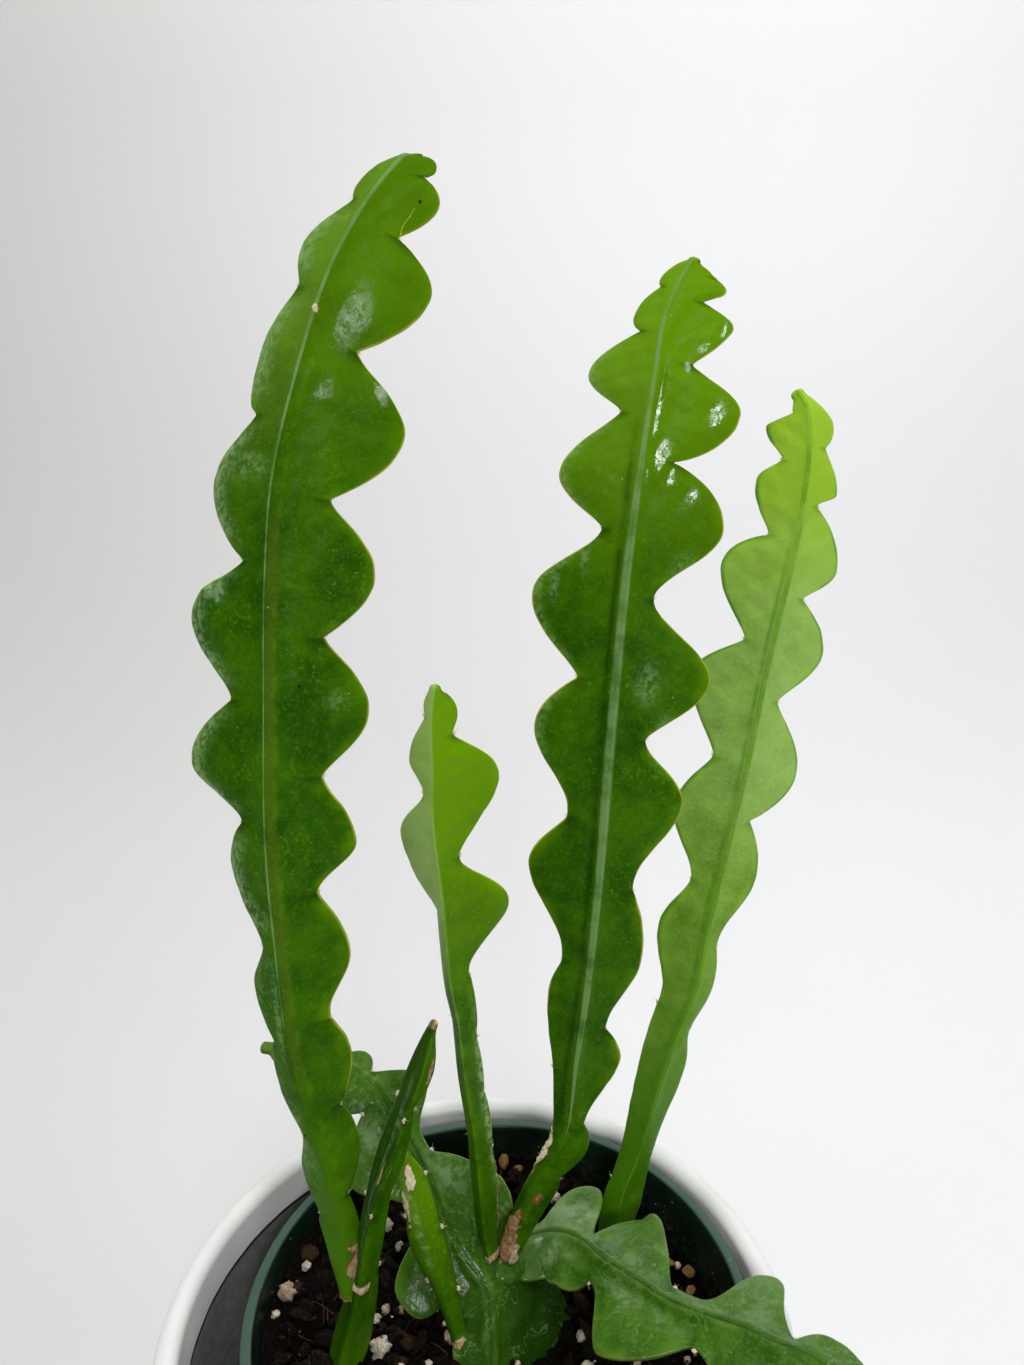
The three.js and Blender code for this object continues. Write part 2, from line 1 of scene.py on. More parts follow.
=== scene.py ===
# Potted ric rac cactus, dressed for its photograph. The plant and the pots are laid out in
# millimetres from the centre of the outer pot's rim, as the solids are, and every piece is then
# raised by the pot's height and scaled to metres.

import math

import bpy
import numpy as np
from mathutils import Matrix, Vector


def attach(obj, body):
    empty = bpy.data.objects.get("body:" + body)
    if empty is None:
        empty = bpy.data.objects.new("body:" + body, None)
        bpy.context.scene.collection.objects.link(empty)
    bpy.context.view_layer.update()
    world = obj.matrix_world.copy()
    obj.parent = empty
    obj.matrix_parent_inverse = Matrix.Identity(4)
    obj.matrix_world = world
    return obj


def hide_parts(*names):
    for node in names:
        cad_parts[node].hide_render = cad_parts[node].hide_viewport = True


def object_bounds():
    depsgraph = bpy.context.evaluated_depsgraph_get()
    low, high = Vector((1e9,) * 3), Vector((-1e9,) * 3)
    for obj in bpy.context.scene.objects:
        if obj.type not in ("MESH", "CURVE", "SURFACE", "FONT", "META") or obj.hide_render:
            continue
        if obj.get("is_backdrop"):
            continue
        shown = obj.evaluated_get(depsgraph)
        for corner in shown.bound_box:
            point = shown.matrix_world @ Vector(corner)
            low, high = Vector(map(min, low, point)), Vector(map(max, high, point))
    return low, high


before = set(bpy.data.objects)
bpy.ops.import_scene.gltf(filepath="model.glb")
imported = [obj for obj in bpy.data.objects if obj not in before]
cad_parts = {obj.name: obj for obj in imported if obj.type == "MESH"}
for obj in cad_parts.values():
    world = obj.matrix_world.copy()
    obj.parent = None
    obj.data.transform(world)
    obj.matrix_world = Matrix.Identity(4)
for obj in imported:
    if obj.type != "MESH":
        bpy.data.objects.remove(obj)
solid_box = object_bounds()
MM = 0.001

# Millimetres between the skin's rows of points along a stem
ROW_STEP = 0.9

# Camera, as found from the photograph: a wide lens, level from side to side, looking down
CAMERA = {"place": (0.010, -0.2237, 0.4194), "tilt": 71.8, "lens": 27.03, "sensor": 36}

# The small bright window that the skin mirrors
WINDOW = {"place": (0.19, -1.27, 1.06), "aim": (0.02, 0.05, 0.38), "size": (0.3, 0.3), "power": 7}

OUTER_POT = {
    "height": 156,
    "rim_radius": 90,
    "base_radius": 73,
    "wall": 7,
    "floor": 9,
    "foot_chamfer": 2,
    "foot_recess": 1.2,
    "foot_width": 8,
    "lip_radius": 3.5,
    "glaze_depth": 12.5,
    "unevenness": 0.25,
    "segments": 192,
}

NURSERY_POT = {
    "centre": (6, 5),
    "rim_radius": 73.5,
    "rim_top": -1.5,
    "rim_depth": 9,
    "lip_width": 3.6,
    "wall": 1.8,
    "base_radius": 52,
    "holes": 6,
    "hole_radius": 5,
    "hole_circle": 36,
    "clearance": 0.3,
    "unevenness": 0.35,
    "segments": 168,
}

# The soil's surface
SOIL = {
    "height": -15,
    "slope_x": -0.085,
    "slope_y": 0.03,
    "bumps": 1.3,
    "clearance": 0.3,
    "segments": 300,
    "rings": 96,
}

# The thickness of a wing beside the midrib and at its margin, halved, and its rounded rim
BLADE = {"flank_half": 1.6, "margin_half": 0.75, "rim": 0.7}

# The midrib's lines and the side veins of the old stems
OLD_RIDGES = [(0, 0.6, -0.5), (1.5, 0.8, 0.3), (-1.5, 0.8, 0.3)]
OLD_VEIN = (0.35, 2.6)

# What a stem has unless it says otherwise. Stations are millimetres along the midrib.
# Form: root is how far the stem goes on below its first point, curl bends the lobes' margins back,
# flat is 0 for a stem that stays oval, ridges are the midrib's lines as offset, half width and height,
# vein is the side veins' depth and half width, relief multiplies the skin's unevenness, which starts
# over the stations up to calm, and tuft is the areoles' size.
# Colour: strip is the half width of the line along the midrib by station, its own colour and, where it
# is paler, partly a painted highlight on the rib, fresh and foot are how strongly the tip and the base
# take colours of their own, the old skin's darker base being painted shade, haze is how pale each wing
# is by station, and dry_tip the length of the dry end. Marks are corky scabs as station, wing, share of
# the reach, length, width and brownness. Glints are flat spots that mirror the window, as wing, station,
# distance from the midrib, half length, half width and strength. Painted sheens are greyish highlights
# painted on, given in the same way, with a negative strength where they lie on the wing's other face.
# Rims are such painted sheens along a wing's margin, as wing, first and last station, strength and width.
# Band is a yellowish line beside the midrib as two distances and two stations, dim how dark a
# three-angled stem's left face is painted, a painted shade, and dark a wing that is painted darker up to
# a station, a painted shadow, with the strength. Creases are fine raised lines as a wing and its stations
# and distances, and dots are dark specks as wing, station and distance.
PLAIN_STEM = {
    "root": 0, "curl": 0, "flat": 1, "ridges": [], "vein": (0.1, 0.9), "relief": 1, "calm": 0.1,
    "tuft": 0.7, "strip": [(0, 0)], "fresh": 1, "foot": 1, "haze": [[(0, 0)]] * 3, "dry_tip": 0,
    "marks": [], "glints": [], "painted_sheens": [], "rims": [], "band": (0, 0.1, 0, 0), "dim": 0,
    "dark": (0, 0, 0), "creases": [], "dots": [],
}
PLAIN_WING = {"roll": [(0, 0)], "sweep": [(0, 0)]}

# The stems, as in the solids. Facing is where the front looks, spine the midrib's path and rib its half
# thickness. A wing has its angle round the midrib, a roll that leans it, a sweep towards the tip, and
# its edge of areole, lobe, areole and so on, as station and reach. A lobe's two more numbers are how
# lean its sides are below and above its crest, 1 being round.
STEMS = {
    "stem_left_short": {
        "skin": "mature", "facing": (0, -1, 0), "root": 26,
        "spine": [(-38, -8, -12), (-32.5, -5.5, 10), (-26.5, -2.5, 44), (-19.5, 0, 68), (-13, 1.5, 88.5),
                  (-10.5, 2, 95.5)],
        "rib": [(0, 3.6), (60, 2.8), (111, 1.4)],
        "wings": [
            {"angle": [(0, -25)],
             "edge": [(0, 5.4), (8, 6.2), (34, 3.6), (46, 4), (58, 3.6), (72, 4.9), (85, 2.7),
                      (96, 5.2, 1, 1.6), (111, 1.2)]},
            {"angle": [(0, 110), (60, 98), (72, 84), (100, 74)],
             "edge": [(0, 4), (20, 5.2), (54, 4), (68, 5.4), (84, 3.2), (97, 4.6), (111, 1.2)]},
            {"angle": [(0, 205)], "roll": [(0, 0.1)],
             "edge": [(0, 5), (16, 5.2), (34, 3), (46, 3.7), (56, 3.4), (70, 3.9), (88, 2.8), (97, 2.7),
                      (111, 1.2)]},
        ],
        "tuft": 1.1, "dry_tip": 1.5, "fresh": 0.15, "dim": 0.65,
        "painted_sheens": [(1, 78, 2.5, 14, 1.2, -0.3), (1, 50, 2.6, 14, 1.2, -0.25), (1, 92, 2, 6, 1, -0.25)],
        "marks": [(97, 0, 0.7, 5, 0.09, 0.8), (67, 1, 0.8, 4.5, 0.08, 0.8), (29, 2, 0.5, 1.7, 0.6, 0.7),
                  (30.5, 1, 0.6, 1.4, 0.5, 0.4)],
    },
    "stem_left_tall": {
        "skin": "mature", "facing": (0.2, -1, 0.2),
        "spine": [(-34.5, -5.5, 13), (-37.5, -1, 36), (-43.5, 3, 61), (-49, 6.5, 81.5), (-52.5, 13, 115.5),
                  (-54, 18, 141), (-53.5, 25.5, 175.5), (-52.5, 32.5, 207), (-50, 38.5, 232.5),
                  (-42, 46.5, 262.5), (-35.6, 52.3, 280.6), (-27.3, 57.5, 295.9), (-21.6, 60, 303.5),
                  (-17.5, 62, 308)],
        "rib": [(0, 3.6), (60, 3), (280, 2.4), (312, 1.3)],
        "wings": [
            {"angle": [(0, -4)],
             "edge": [(0, 4.6), (18, 4.8), (29, 3.6), (42, 10.4), (54, 8.4), (66, 15.4), (80, 11.8),
                      (97, 19.2, 2.6, 1.4), (116, 12.2), (128, 23.2, 2, 1.4), (148, 14.6),
                      (165, 27, 1.4, 1.4), (185, 15), (202, 27.8, 1, 1.4), (222, 14.8),
                      (245, 30.2, 1, 1.4), (262, 12.8), (286, 25.2, 1, 0.9), (293, 10.8),
                      (302, 14.8, 1.3, 1.2), (308, 6.6), (310.5, 7.4, 0.5, 1), (312.5, 3.2)],
             "sweep": [(286, 0), (302, 0.45), (308, 0.78), (310.5, 0.95), (312.5, 1.3)]},
            {"angle": [(0, 204)], "roll": [(0, 0.05)], "curl": 4.5,
             "edge": [(0, 3.4), (20, 7.2, 2.6, 1.4), (24, 6), (36, 8.8, 1.4, 2), (49, 4),
                      (62, 6.6, 2, 0.5), (76, 4.2), (91, 9, 1.4, 2), (103, 4), (123, 13, 2, 1),
                      (136, 7.2), (150, 24.6, 2, 1), (168, 10), (190, 23.8, 1.4, 1.4), (204, 6.8),
                      (222, 19.4, 1, 1.4), (240, 8.2), (257, 14, 0.5, 1.4), (273, 7), (284, 12, 1.4, 2),
                      (297.5, 3.8), (303, 5.2, 0.7, 1), (312.5, 1.2)]},
        ],
        "ridges": [(0, 0.45, 0.4), (2.6, 0.7, 0.22)], "curl": 1.6, "fresh": 0.5,
        "strip": [(0, 0), (80, 0), (110, 0.22), (150, 0.08), (210, 0.12), (270, 0.36), (300, 0.42)],
        "haze": [[(0, 0)], [(210, 0), (265, 0.2)]],
        "marks": [(0, None, 0.5, 0.8, 2, 0.6), (9, 0, 0.7, 6, 0.6, 0.75), (268, None, 0, 1, 0.05, 0.1)],
        "glints": [(0, 270, 9.6, 7.6, 4.6, 0.42), (0, 249.5, 7.4, 2.6, 2.4, 0.5),
                   (0, 253.5, 21, 3.6, 1.8, 0.6), (1, 195.5, 14.4, 3, 3.5, 0.3)],
        "painted_sheens": [(1, 227, 7.5, 3.2, 5.5, 0.35), (1, 195.5, 14.4, 3, 3.5, 0.3), (1, 48, 4.5, 14, 2.6, 0.35),
                  (1, 86, 1.4, 13, 0.8, 0.4), (1, 90, 6.5, 9, 1.6, 0.15), (0, 168, 18, 3, 3, 0.18)],
        "band": (0.5, 2.7, 55, 225), "rims": [(1, 90, 300, 0.7, 8)],
        "creases": [(0, [(293, 11), (296, 10.2), (300.5, 10.2)])],
        "dots": [(0, 302.5, 10), (0, 172, 8.4), (1, 50, 2)],
    },
    "stem_centre_broad": {
        "skin": "old", "facing": (0, -0.6, 0.8), "root": 24,
        "spine": [(3, -9, -16), (3, 1, -9), (1.5, 9.5, -2.5), (-6, 16.5, 5), (-12, 25, 12), (-17, 33.5, 19),
                  (-28.5, 45, 31.5), (-38, 52, 38), (-54, 57.5, 42), (-72, 61, 42.5)],
        "rib": [(0, 4), (40, 3.2), (128, 1.4)],
        "wings": [
            {"angle": [(0, -42), (20, -30), (34, -4), (128, 0)],
             "edge": [(0, 14), (14, 30), (26, 12), (47, 20.8, 1, 1.2), (64, 3.8), (82, 14.2, 6, 1.6),
                      (94, 2.8), (97.5, 7, 0.6, 1.5), (104, 3.8), (114, 6.5), (124, 3), (126, 3),
                      (128, 2)]},
            {"angle": [(0, 190), (30, 178), (125, 178)],
             "edge": [(0, 9), (7, 10.5), (15, 9), (35, 22, 2, 2), (48, 7), (69, 22.4, 2, 0.9),
                      (86, 7.8), (98, 14.5), (108, 5), (118, 8), (128, 2)]},
        ],
        "ridges": OLD_RIDGES, "vein": OLD_VEIN, "relief": 1.8, "curl": 0.8, "tuft": 1.1,
        # Its right wing low down is painted darker, the trailing stem's painted shadow
        "dark": (0, 44, 0.75), "painted_sheens": [(0, 60, 6, 10, 5, 0.3), (1, 75, 10, 9, 6, 0.3)],
    },
    "stem_front_short": {
        "skin": "young", "facing": (0.1, -0.9, 0.4),
        "spine": [(-5, 0, -13.5), (-8.5, 3.5, -4.5), (-12.5, 7.5, 8), (-16, 11, 19.5), (-18.8, 14.2, 29.5),
                  (-20.8, 17, 39.5)],
        "rib": [(0, 3), (30, 3.2), (58, 1.4)],
        "wings": [
            {"angle": [(0, -6)],
             "edge": [(0, 2.2), (7, 3.6), (15, 4.2), (24, 5), (34, 4.8), (42, 5), (51, 4.2), (53, 3.6),
                      (57.5, 1.2)]},
            {"angle": [(0, 174)],
             "edge": [(0, 1.9), (3, 2), (7.5, 2), (14, 2.2), (21, 2.9), (32, 5.1, 1.2, 1.2), (41, 3.8),
                      (49, 3.7), (57.5, 1.2)]},
        ],
        "flat": 0, "tuft": 1.2, "fresh": 0.4, "painted_sheens": [(1, 38, 1.5, 14, 1.1, 0.4)],
        "marks": [(51.5, 1, 0.1, 4.6, 0.5, 0), (51.5, 0, 0, 3.6, 0.25, 0), (44, 1, 0.75, 5.5, 0.15, 0.35),
                  (0.8, None, 0.5, 1.8, 2, 0.6)],
    },
    "stem_small_upright": {
        "skin": "young", "facing": (0.04, -1, 0.14),
        "spine": [(3.5, 16, 2), (2, 17, 11.5), (0.5, 19.5, 28), (-1, 21.5, 44.5), (-3, 23.5, 60),
                  (-5, 26, 79), (-7, 27.5, 89.5), (-9, 30.5, 109.5), (-10.5, 32.5, 124),
                  (-12, 34.5, 138.5), (-12, 36.5, 153), (-12, 38.5, 168), (-11, 39.5, 175)],
        "rib": [(0, 2.7), (70, 3), (110, 2.4), (176, 1.2)],
        "wings": [
            {"angle": [(0, -36)],
             "edge": [(0, 2.8), (18, 5.2, 1, 0.6), (35, 5.2), (46, 6, 0.6, 0.6), (54, 4.8),
                      (61, 5.8, 0.5, 1), (71, 4.8), (84, 6.6, 1, 0.5), (90, 6), (107, 23.6, 3.2, 2),
                      (126, 7.2), (148, 23.6, 1.4, 1.4), (162, 7.2), (170, 8.6, 1.4, 0.5), (175, 2)]},
            {"angle": [(0, 230), (100, 235), (120, 215), (176, 205)], "roll": [(0, 0), (110, 0.1)],
             "edge": [(0, 2.6), (24, 3.8), (40, 3.2), (60, 4), (78, 3.4), (94, 4), (112, 2.4),
                      (133, 13, 1, 2), (146, 2.8), (155, 7.8, 2, 1.4), (168, 1.8), (171, 2.6),
                      (175, 1.6)]},
        ],
        "ridges": [(0.2, 0.7, 0.4)], "curl": 0.6, "tuft": 0.9,
        "strip": [(0, 0), (60, 0), (90, 0.35), (176, 0.25)], "haze": [[(0, 0)], [(88, 0), (112, 0.5)]],
        "painted_sheens": [(0, 52, 4.5, 26, 1.6, 0.8)],
        "marks": [(0.5, None, 0.5, 1.6, 2, 0.6), (19, 0, 1, 13, 0.1, 0.7)],
    },
    "stem_centre_tall": {
        "skin": "mature", "facing": (-0.08, -1, 0.21),
        "spine": [(9, 17, 1), (12, 18.5, 10), (15.5, 20.5, 19.5), (21, 22, 31), (26.5, 24.5, 43.5),
                  (29, 28.5, 63.5), (31.5, 32, 81.5), (35, 39, 116), (38, 47.5, 158.5), (41.5, 56, 199.5),
                  (44.5, 61, 225.5), (49, 67.5, 257.5), (51, 70, 270), (54, 71.5, 278), (58.1, 72.8, 284.9)],
        "rib": [(0, 2.8), (40, 3.2), (250, 2.5), (295, 1.2)],
        "wings": [
            {"angle": [(0, -6)],
             "edge": [(0, 2.8), (24, 6, 2.6, 0.5), (30, 4.8), (42, 8.4, 1.4, 1), (48, 4.6),
                      (68, 13, 2.6, 1), (78, 7), (99, 15, 2.6, 1), (120, 10), (146, 22.4, 2.6, 2),
                      (164, 10), (182, 26.8, 1.4, 2), (204, 8.4), (225, 25.6, 2, 0.7), (242, 8),
                      (257, 25.3, 0.7, 1.1), (268, 9.8), (278.5, 19.2, 1.3, 0.8), (285.7, 8.2),
                      (290.8, 12.6, 1.2, 0.7), (293.4, 7.6), (294.5, 6, 0.5, 0.8), (295.6, 2.4)],
             "sweep": [(265, 0), (280, 0.15), (295.6, 0.3)]},
            {"angle": [(0, 188)], "roll": [(0, 0), (180, 0.04)],
             "edge": [(0, 2.8), (12, 3.6, 0.5, 0.5), (41, 3.2), (52, 5.4, 0.5, 2.6), (64, 6.8),
                      (85, 11.4, 1.4, 1.4), (97, 8.4), (124, 21.4, 2.6, 1.4), (140, 10.8),
                      (165, 22.4, 2.6, 1), (180, 11), (203, 26.6, 1.4, 2), (222, 8.4),
                      (236, 22.8, 1.4, 1.4), (254, 7.6), (263, 18.2, 1.4, 1), (275.6, 5.2),
                      (279, 8.2, 0.5, 1.3), (287, 3.8), (289.5, 4.8, 0.6, 0.7), (295.6, 1)]},
        ],
        "ridges": [(0.1, 1.3, 0.5), (-2.7, 0.9, -0.25)], "curl": 1, "foot": 0,
        "strip": [(0, 0), (45, 0), (75, 0.7), (150, 1.25), (215, 1.1), (250, 0.6), (290, 0.35)],
        "haze": [[(0, 0)], [(220, 0), (260, 0.12)]],
        "marks": [(6, 1, 0.6, 9, 0.9, 0.85), (3, 0, 0.2, 4.5, 0.5, 0.5), (38, 1, 0.95, 7.5, 0.3, 0.1),
                  (23, 0, 0.15, 1.8, 0.3, 1)],
        "painted_sheens": [(0, 180, 9, 6, 3, 0.35), (0, 164, 15, 8, 2.5, 0.35), (0, 211, 16, 6, 4, 0.3),
                  (1, 215, 12, 6, 1.2, 0.35), (1, 205, 20, 5, 1, 0.4)],
        "rims": [(1, 150, 280, 0.5, 4)],
        "glints": [(0, 256, 17.8, 2.8, 2.4, 1), (0, 238, 8.4, 2.5, 1.8, 1), (0, 233.5, 15.4, 1.8, 1.6, 1),
                   (0, 277.5, 16.8, 2, 1.2, 0.9), (0, 250, 2.6, 12, 0.9, 1), (0, 243, 4.8, 4, 2, 1),
                   (0, 272, 12, 1.5, 1.5, 0.7), (0, 267.5, 8.5, 1.2, 1.2, 0.7),
                   (1, 237.5, 11, 1.6, 0.8, 0.45), (1, 236, 6.5, 1.8, 0.9, 0.45),
                   (1, 232, 8.8, 1, 0.8, 0.4)],
    },
    "stem_right": {
        "skin": "pale", "facing": (-0.2, -1, 0.21), "root": 26,
        "spine": [(43, 41.5, -17), (46, 44.5, -0.5), (51, 46.5, 14), (55.5, 49, 31.5), (60.5, 52, 48.5),
                  (67.5, 54.5, 69), (72, 59, 94), (81, 66.5, 137.5), (87.5, 73, 174.5), (94, 78.5, 207),
                  (96, 81.5, 223), (97, 84, 237), (96, 86, 246), (93.5, 87.5, 250)],
        "rib": [(0, 3.8), (60, 3.2), (230, 2.3), (278, 1.2)],
        "wings": [
            {"angle": [(0, -25)],
             "edge": [(0, 5.4), (14, 8, 1.5, 1.5), (32, 5.2), (64, 7.4, 2.6, 2), (78, 3.6),
                      (93, 6.2, 2.6, 1), (106, 4.4), (129, 13, 2.6, 1), (148, 5.6), (164, 18.2, 1, 1.4),
                      (186, 6.2), (202, 18, 1.4, 1), (218, 6.6), (228, 16, 1.4, 1), (245, 5.2),
                      (249, 11.4, 2.6, 1.4), (262, 5.4), (268, 8, 0.7, 2.6), (277, 2)]},
            {"angle": [(0, 186)],
             "edge": [(0, 4.6), (10, 5.2), (20, 4.4), (66, 8.2, 2.6, 0.5), (82, 9.2), (109, 15, 2.6, 2),
                      (126, 8.2), (147, 18.6, 2, 1.4), (166, 10.2), (191, 21, 1.4, 1.4), (203, 8),
                      (224, 20, 1.4, 0.7), (235, 8), (251, 14, 1.4, 1.4), (258, 7.2),
                      (270, 12, 1.4, 0.5), (273, 3.6), (275, 3.6), (277, 2)]},
        ],
        "ridges": [(0, 1, 0.7), (-1.7, 0.5, -0.12)], "curl": 0.6,
        "strip": [(0, 0), (40, 0.3), (110, 0.8), (277, 0.6)],
        "haze": [[(125, 0), (170, 0.34), (215, 0.3), (250, 0)],
                 [(125, 0), (170, 0.28), (215, 0.25), (250, 0)]],
    },
    "stem_trailing": {
        "skin": "old", "facing": (0, -0.2, 1),
        "spine": [(8, 19.5, -2), (16.5, 25, -0.5), (24.8, 25, 0.6), (31, 21.4, 1.6), (37, 14, 2.5),
                  (47.3, 4.6, 3.6), (55, -2.2, 4.6), (63, -7, 5.6), (73, -12, 6.8), (80, -16.6, 7.6),
                  (89.5, -21, 7.6), (99, -26, 4), (108, -31, -2), (116, -36, -10), (122, -40, -19)],
        "rib": [(0, 3), (30, 3), (150, 1.3)],
        "wings": [
            {"angle": [(0, -6)],
             "edge": [(0, 8), (30, 14.6, 0.6, 0.5), (36.5, 7.2), (50, 22.6, 2.4, 1.9), (70, 9),
                      (90, 21, 1.5, 1.5), (104, 8), (119, 17, 1.5, 1.5), (131, 5), (138, 8), (146, 1.6)]},
            {"angle": [(0, 184)],
             "edge": [(0, 3), (9, 3.6), (12, 4), (22, 20.6, 2.4, 2.8), (28, 5), (38, 23.6, 0.5, 1.7),
                      (58.5, 5), (83, 19.8, 7.5, 1.8), (95, 3), (105, 9.2, 1.1, 1.5), (120, 4),
                      (131, 9, 1.5, 1.5), (146, 1.6)]},
        ],
        "ridges": OLD_RIDGES, "vein": OLD_VEIN, "relief": 2, "calm": 36, "curl": 0.8, "tuft": 1.1,
        "foot": 0, "haze": [[(0, 0.15), (20, 0)], [(0, 0.2), (30, 0.1)]],
        "painted_sheens": [(0, 16, 5, 10, 4, 0.3), (1, 22, 8, 7, 5, 0.35), (0, 52, 6, 12, 2.5, 0.25),
                  (1, 45, 5, 9, 2.2, 0.2), (1, 83, 10, 6, 7, 0.2), (0, 92, 12, 8, 5, 0.15)],
    },
}

# The corky lump that several stems grow from
KNUCKLE = {"centre": (6, 17, -3), "radii": (8.5, 6.5, 4.6)}

# The material slot of each kind of skin
SLOTS = {"mature": "mature_stem", "young": "young_stem", "pale": "pale_stem", "old": "old_stem"}

# Where stems stand in the soil, and where it lies lower under the old stem's right wing, each as x, y
# and radius
FEET = [(-38, -8, 5), (-35, -7, 5), (-4, -2, 5), (3, -6, 7), (43, 41, 5)]
HOLLOW = (19, 5, 12)

# The bits on the soil: how many there are, how far from the nursery pot's centre they lie, how many
# forms they have and the seed of the first form. The solids have those of the first kind too, and
# threads take their form from the draws alone.
BITS = {
    "solid": {"count": 32, "reach": 60, "forms": 32, "seed": 300},
    "bark": {"count": 420, "reach": 64, "forms": 420, "seed": 400},
    "crumb": {"count": 1100, "reach": 67, "forms": 60, "seed": 700},
    "grain": {"count": 80, "reach": 65, "forms": 40, "seed": 2100},
    "thread": {"count": 70, "reach": 62, "forms": 1, "seed": 0},
}
BITS_SEED = 7

# Tan chips and white grains that the photograph shows, as x, y and radius
BIG_CHIPS = [(66, 28, 2.8), (66, 21, 2.5), (61, 31, 2.2), (58, 24, 2), (63, 15, 1.8), (7, 69, 2.8),
             (0, 66, 2), (12, 66, 2.2), (52, 34, 2)]
BIG_GRAINS = [(-58, 13.6, 2.6), (-28, -3.6, 2.7), (25, 55, 1.8), (-31, 41, 1.8), (-26, 31, 1.4),
              (-27.5, 22.6, 1.5), (32, -6, 2.4), (-54, 22, 1.3), (-60, 6, 1.2), (46, -2, 1.6)]


def completed(stem):
    """A stem with the plain value of all that it doesn't say."""
    stem = {**PLAIN_STEM, **stem}
    stem["wings"] = [{**PLAIN_WING, "curl": stem["curl"], **wing} for wing in stem["wings"]]
    return stem


STEMS = {name: completed(stem) for name, stem in STEMS.items()}


# Number helpers

def smooth(value, start=0.0, end=1.0):
    share = np.clip((value - start) / (end - start), 0, 1)
    return share * share * (3 - 2 * share)


def table_at(rows, stations):
    rows = np.array(rows, float)
    return np.interp(stations, rows[:, 0], rows[:, 1])


def bump(value, centre, half_width):
    return np.exp(-((value - centre) / half_width) ** 2)


def waves(points, spacing, seed):
    """Gentle random relief, about -1 to 1, whose bumps lie about a spacing apart."""
    count = 9
    draw = np.random.default_rng(seed)
    directions = draw.normal(size=(count, points.shape[-1]))
    directions /= np.linalg.norm(directions, axis=1, keepdims=True)
    rates = 2 * math.pi / (spacing * draw.uniform(0.7, 1.4, count))
    phases = draw.uniform(0, 2 * math.pi, count)
    angles = points @ (directions * rates[:, None]).T + phases
    return np.sin(angles).sum(-1) / math.sqrt(2 * count)


def unit(vectors):
    return vectors / np.maximum(np.linalg.norm(vectors, axis=-1, keepdims=True), 1e-9)


# Mesh helpers

def lofted(rows, columns):
    """Quads over rows of points. Each row runs round, anticlockwise seen from the last row."""
    index = np.arange(rows * columns).reshape(rows, columns)
    after = np.roll(index, -1, axis=1)
    return np.stack([index[:-1], after[:-1], after[1:], index[1:]], -1).reshape(-1, 4).tolist()


def fan(ring, hub, outward):
    """Triangles from a ring's indices to a hub. Outward is true where the ring runs anticlockwise."""
    turned = ring if outward else ring[::-1]
    return [(turned[i], turned[(i + 1) % len(turned)], hub) for i in range(len(turned))]


def capped(rows, columns):
    """Faces over rows of points, closed by two more points, before the first row and past the last."""
    count = rows * columns
    below = fan(list(range(columns)), count, False)
    past = fan(list(range(count - columns, count)), count + 1, True)
    return lofted(rows, columns) + below + past


def add_piece(name, points, faces, material, slot, nodes=(), values=None):
    mesh = bpy.data.meshes.new(name)
    placed = (np.asarray(points, float) + (0, 0, OUTER_POT["height"])) * MM
    mesh.from_pydata(placed.tolist(), [], faces)
    for key, numbers in (values or {}).items():
        layer = mesh.attributes.new(key, "FLOAT", "POINT")
        layer.data.foreach_set("value", np.asarray(numbers, np.float32).ravel())
    mesh.shade_smooth()
    mesh.materials.append(material)
    piece = bpy.data.objects.new(name, mesh)
    bpy.context.scene.collection.objects.link(piece)
    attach(piece, "root")
    if nodes:
        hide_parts(*nodes)
    return piece


class Heap:
    """Many small shapes gathered into one mesh, each with its own tone."""

    def __init__(self):
        self.points = []
        self.faces = []
        self.tones = []
        self.count = 0

    def add(self, points, faces, tone=0.5):
        self.points.append(np.asarray(points, float))
        self.faces.extend([tuple(self.count + i for i in face) for face in faces])
        self.tones.append(np.full(len(points), tone))
        self.count += len(points)

    def build(self, name, material, slot):
        points, tones = np.concatenate(self.points), {"tone": np.concatenate(self.tones)}
        return add_piece(name, points, self.faces, material, slot, values=tones)


def ball(rows, columns):
    """Points and faces of a round ball of radius 1."""
    points = [(0, 0, -1)]
    for i in range(1, rows):
        level = -math.cos(math.pi * i / rows)
        across = math.sin(math.pi * i / rows)
        for j in range(columns):
            turn = 2 * math.pi * (j + 0.5 * (i % 2)) / columns
            points.append((across * math.cos(turn), across * math.sin(turn), level))
    points.append((0, 0, 1))
    faces = [tuple(1 + k for k in face) for face in lofted(rows - 1, columns)]
    first = list(range(1, 1 + columns))
    last = [k + columns * (rows - 2) for k in first]
    faces += fan(first, 0, False) + fan(last, len(points) - 1, True)
    return np.array(points), faces


def tube(path, radii, sides):
    """A tapered round tube along a path, closed at both ends."""
    path = np.asarray(path, float)
    along = unit(np.gradient(path, axis=0))
    across = unit(np.cross(along, (0.3, 0.5, 0.81)))
    other = np.cross(along, across)
    turn = np.arange(sides) * 2 * math.pi / sides
    circle = across[:, None] * np.cos(turn)[:, None] + other[:, None] * np.sin(turn)[:, None]
    points = (path[:, None] + circle * np.asarray(radii)[:, None, None]).reshape(-1, 3)
    points = np.vstack([points, path[0], path[-1]])
    return points, capped(len(path), sides)


# The stems' form

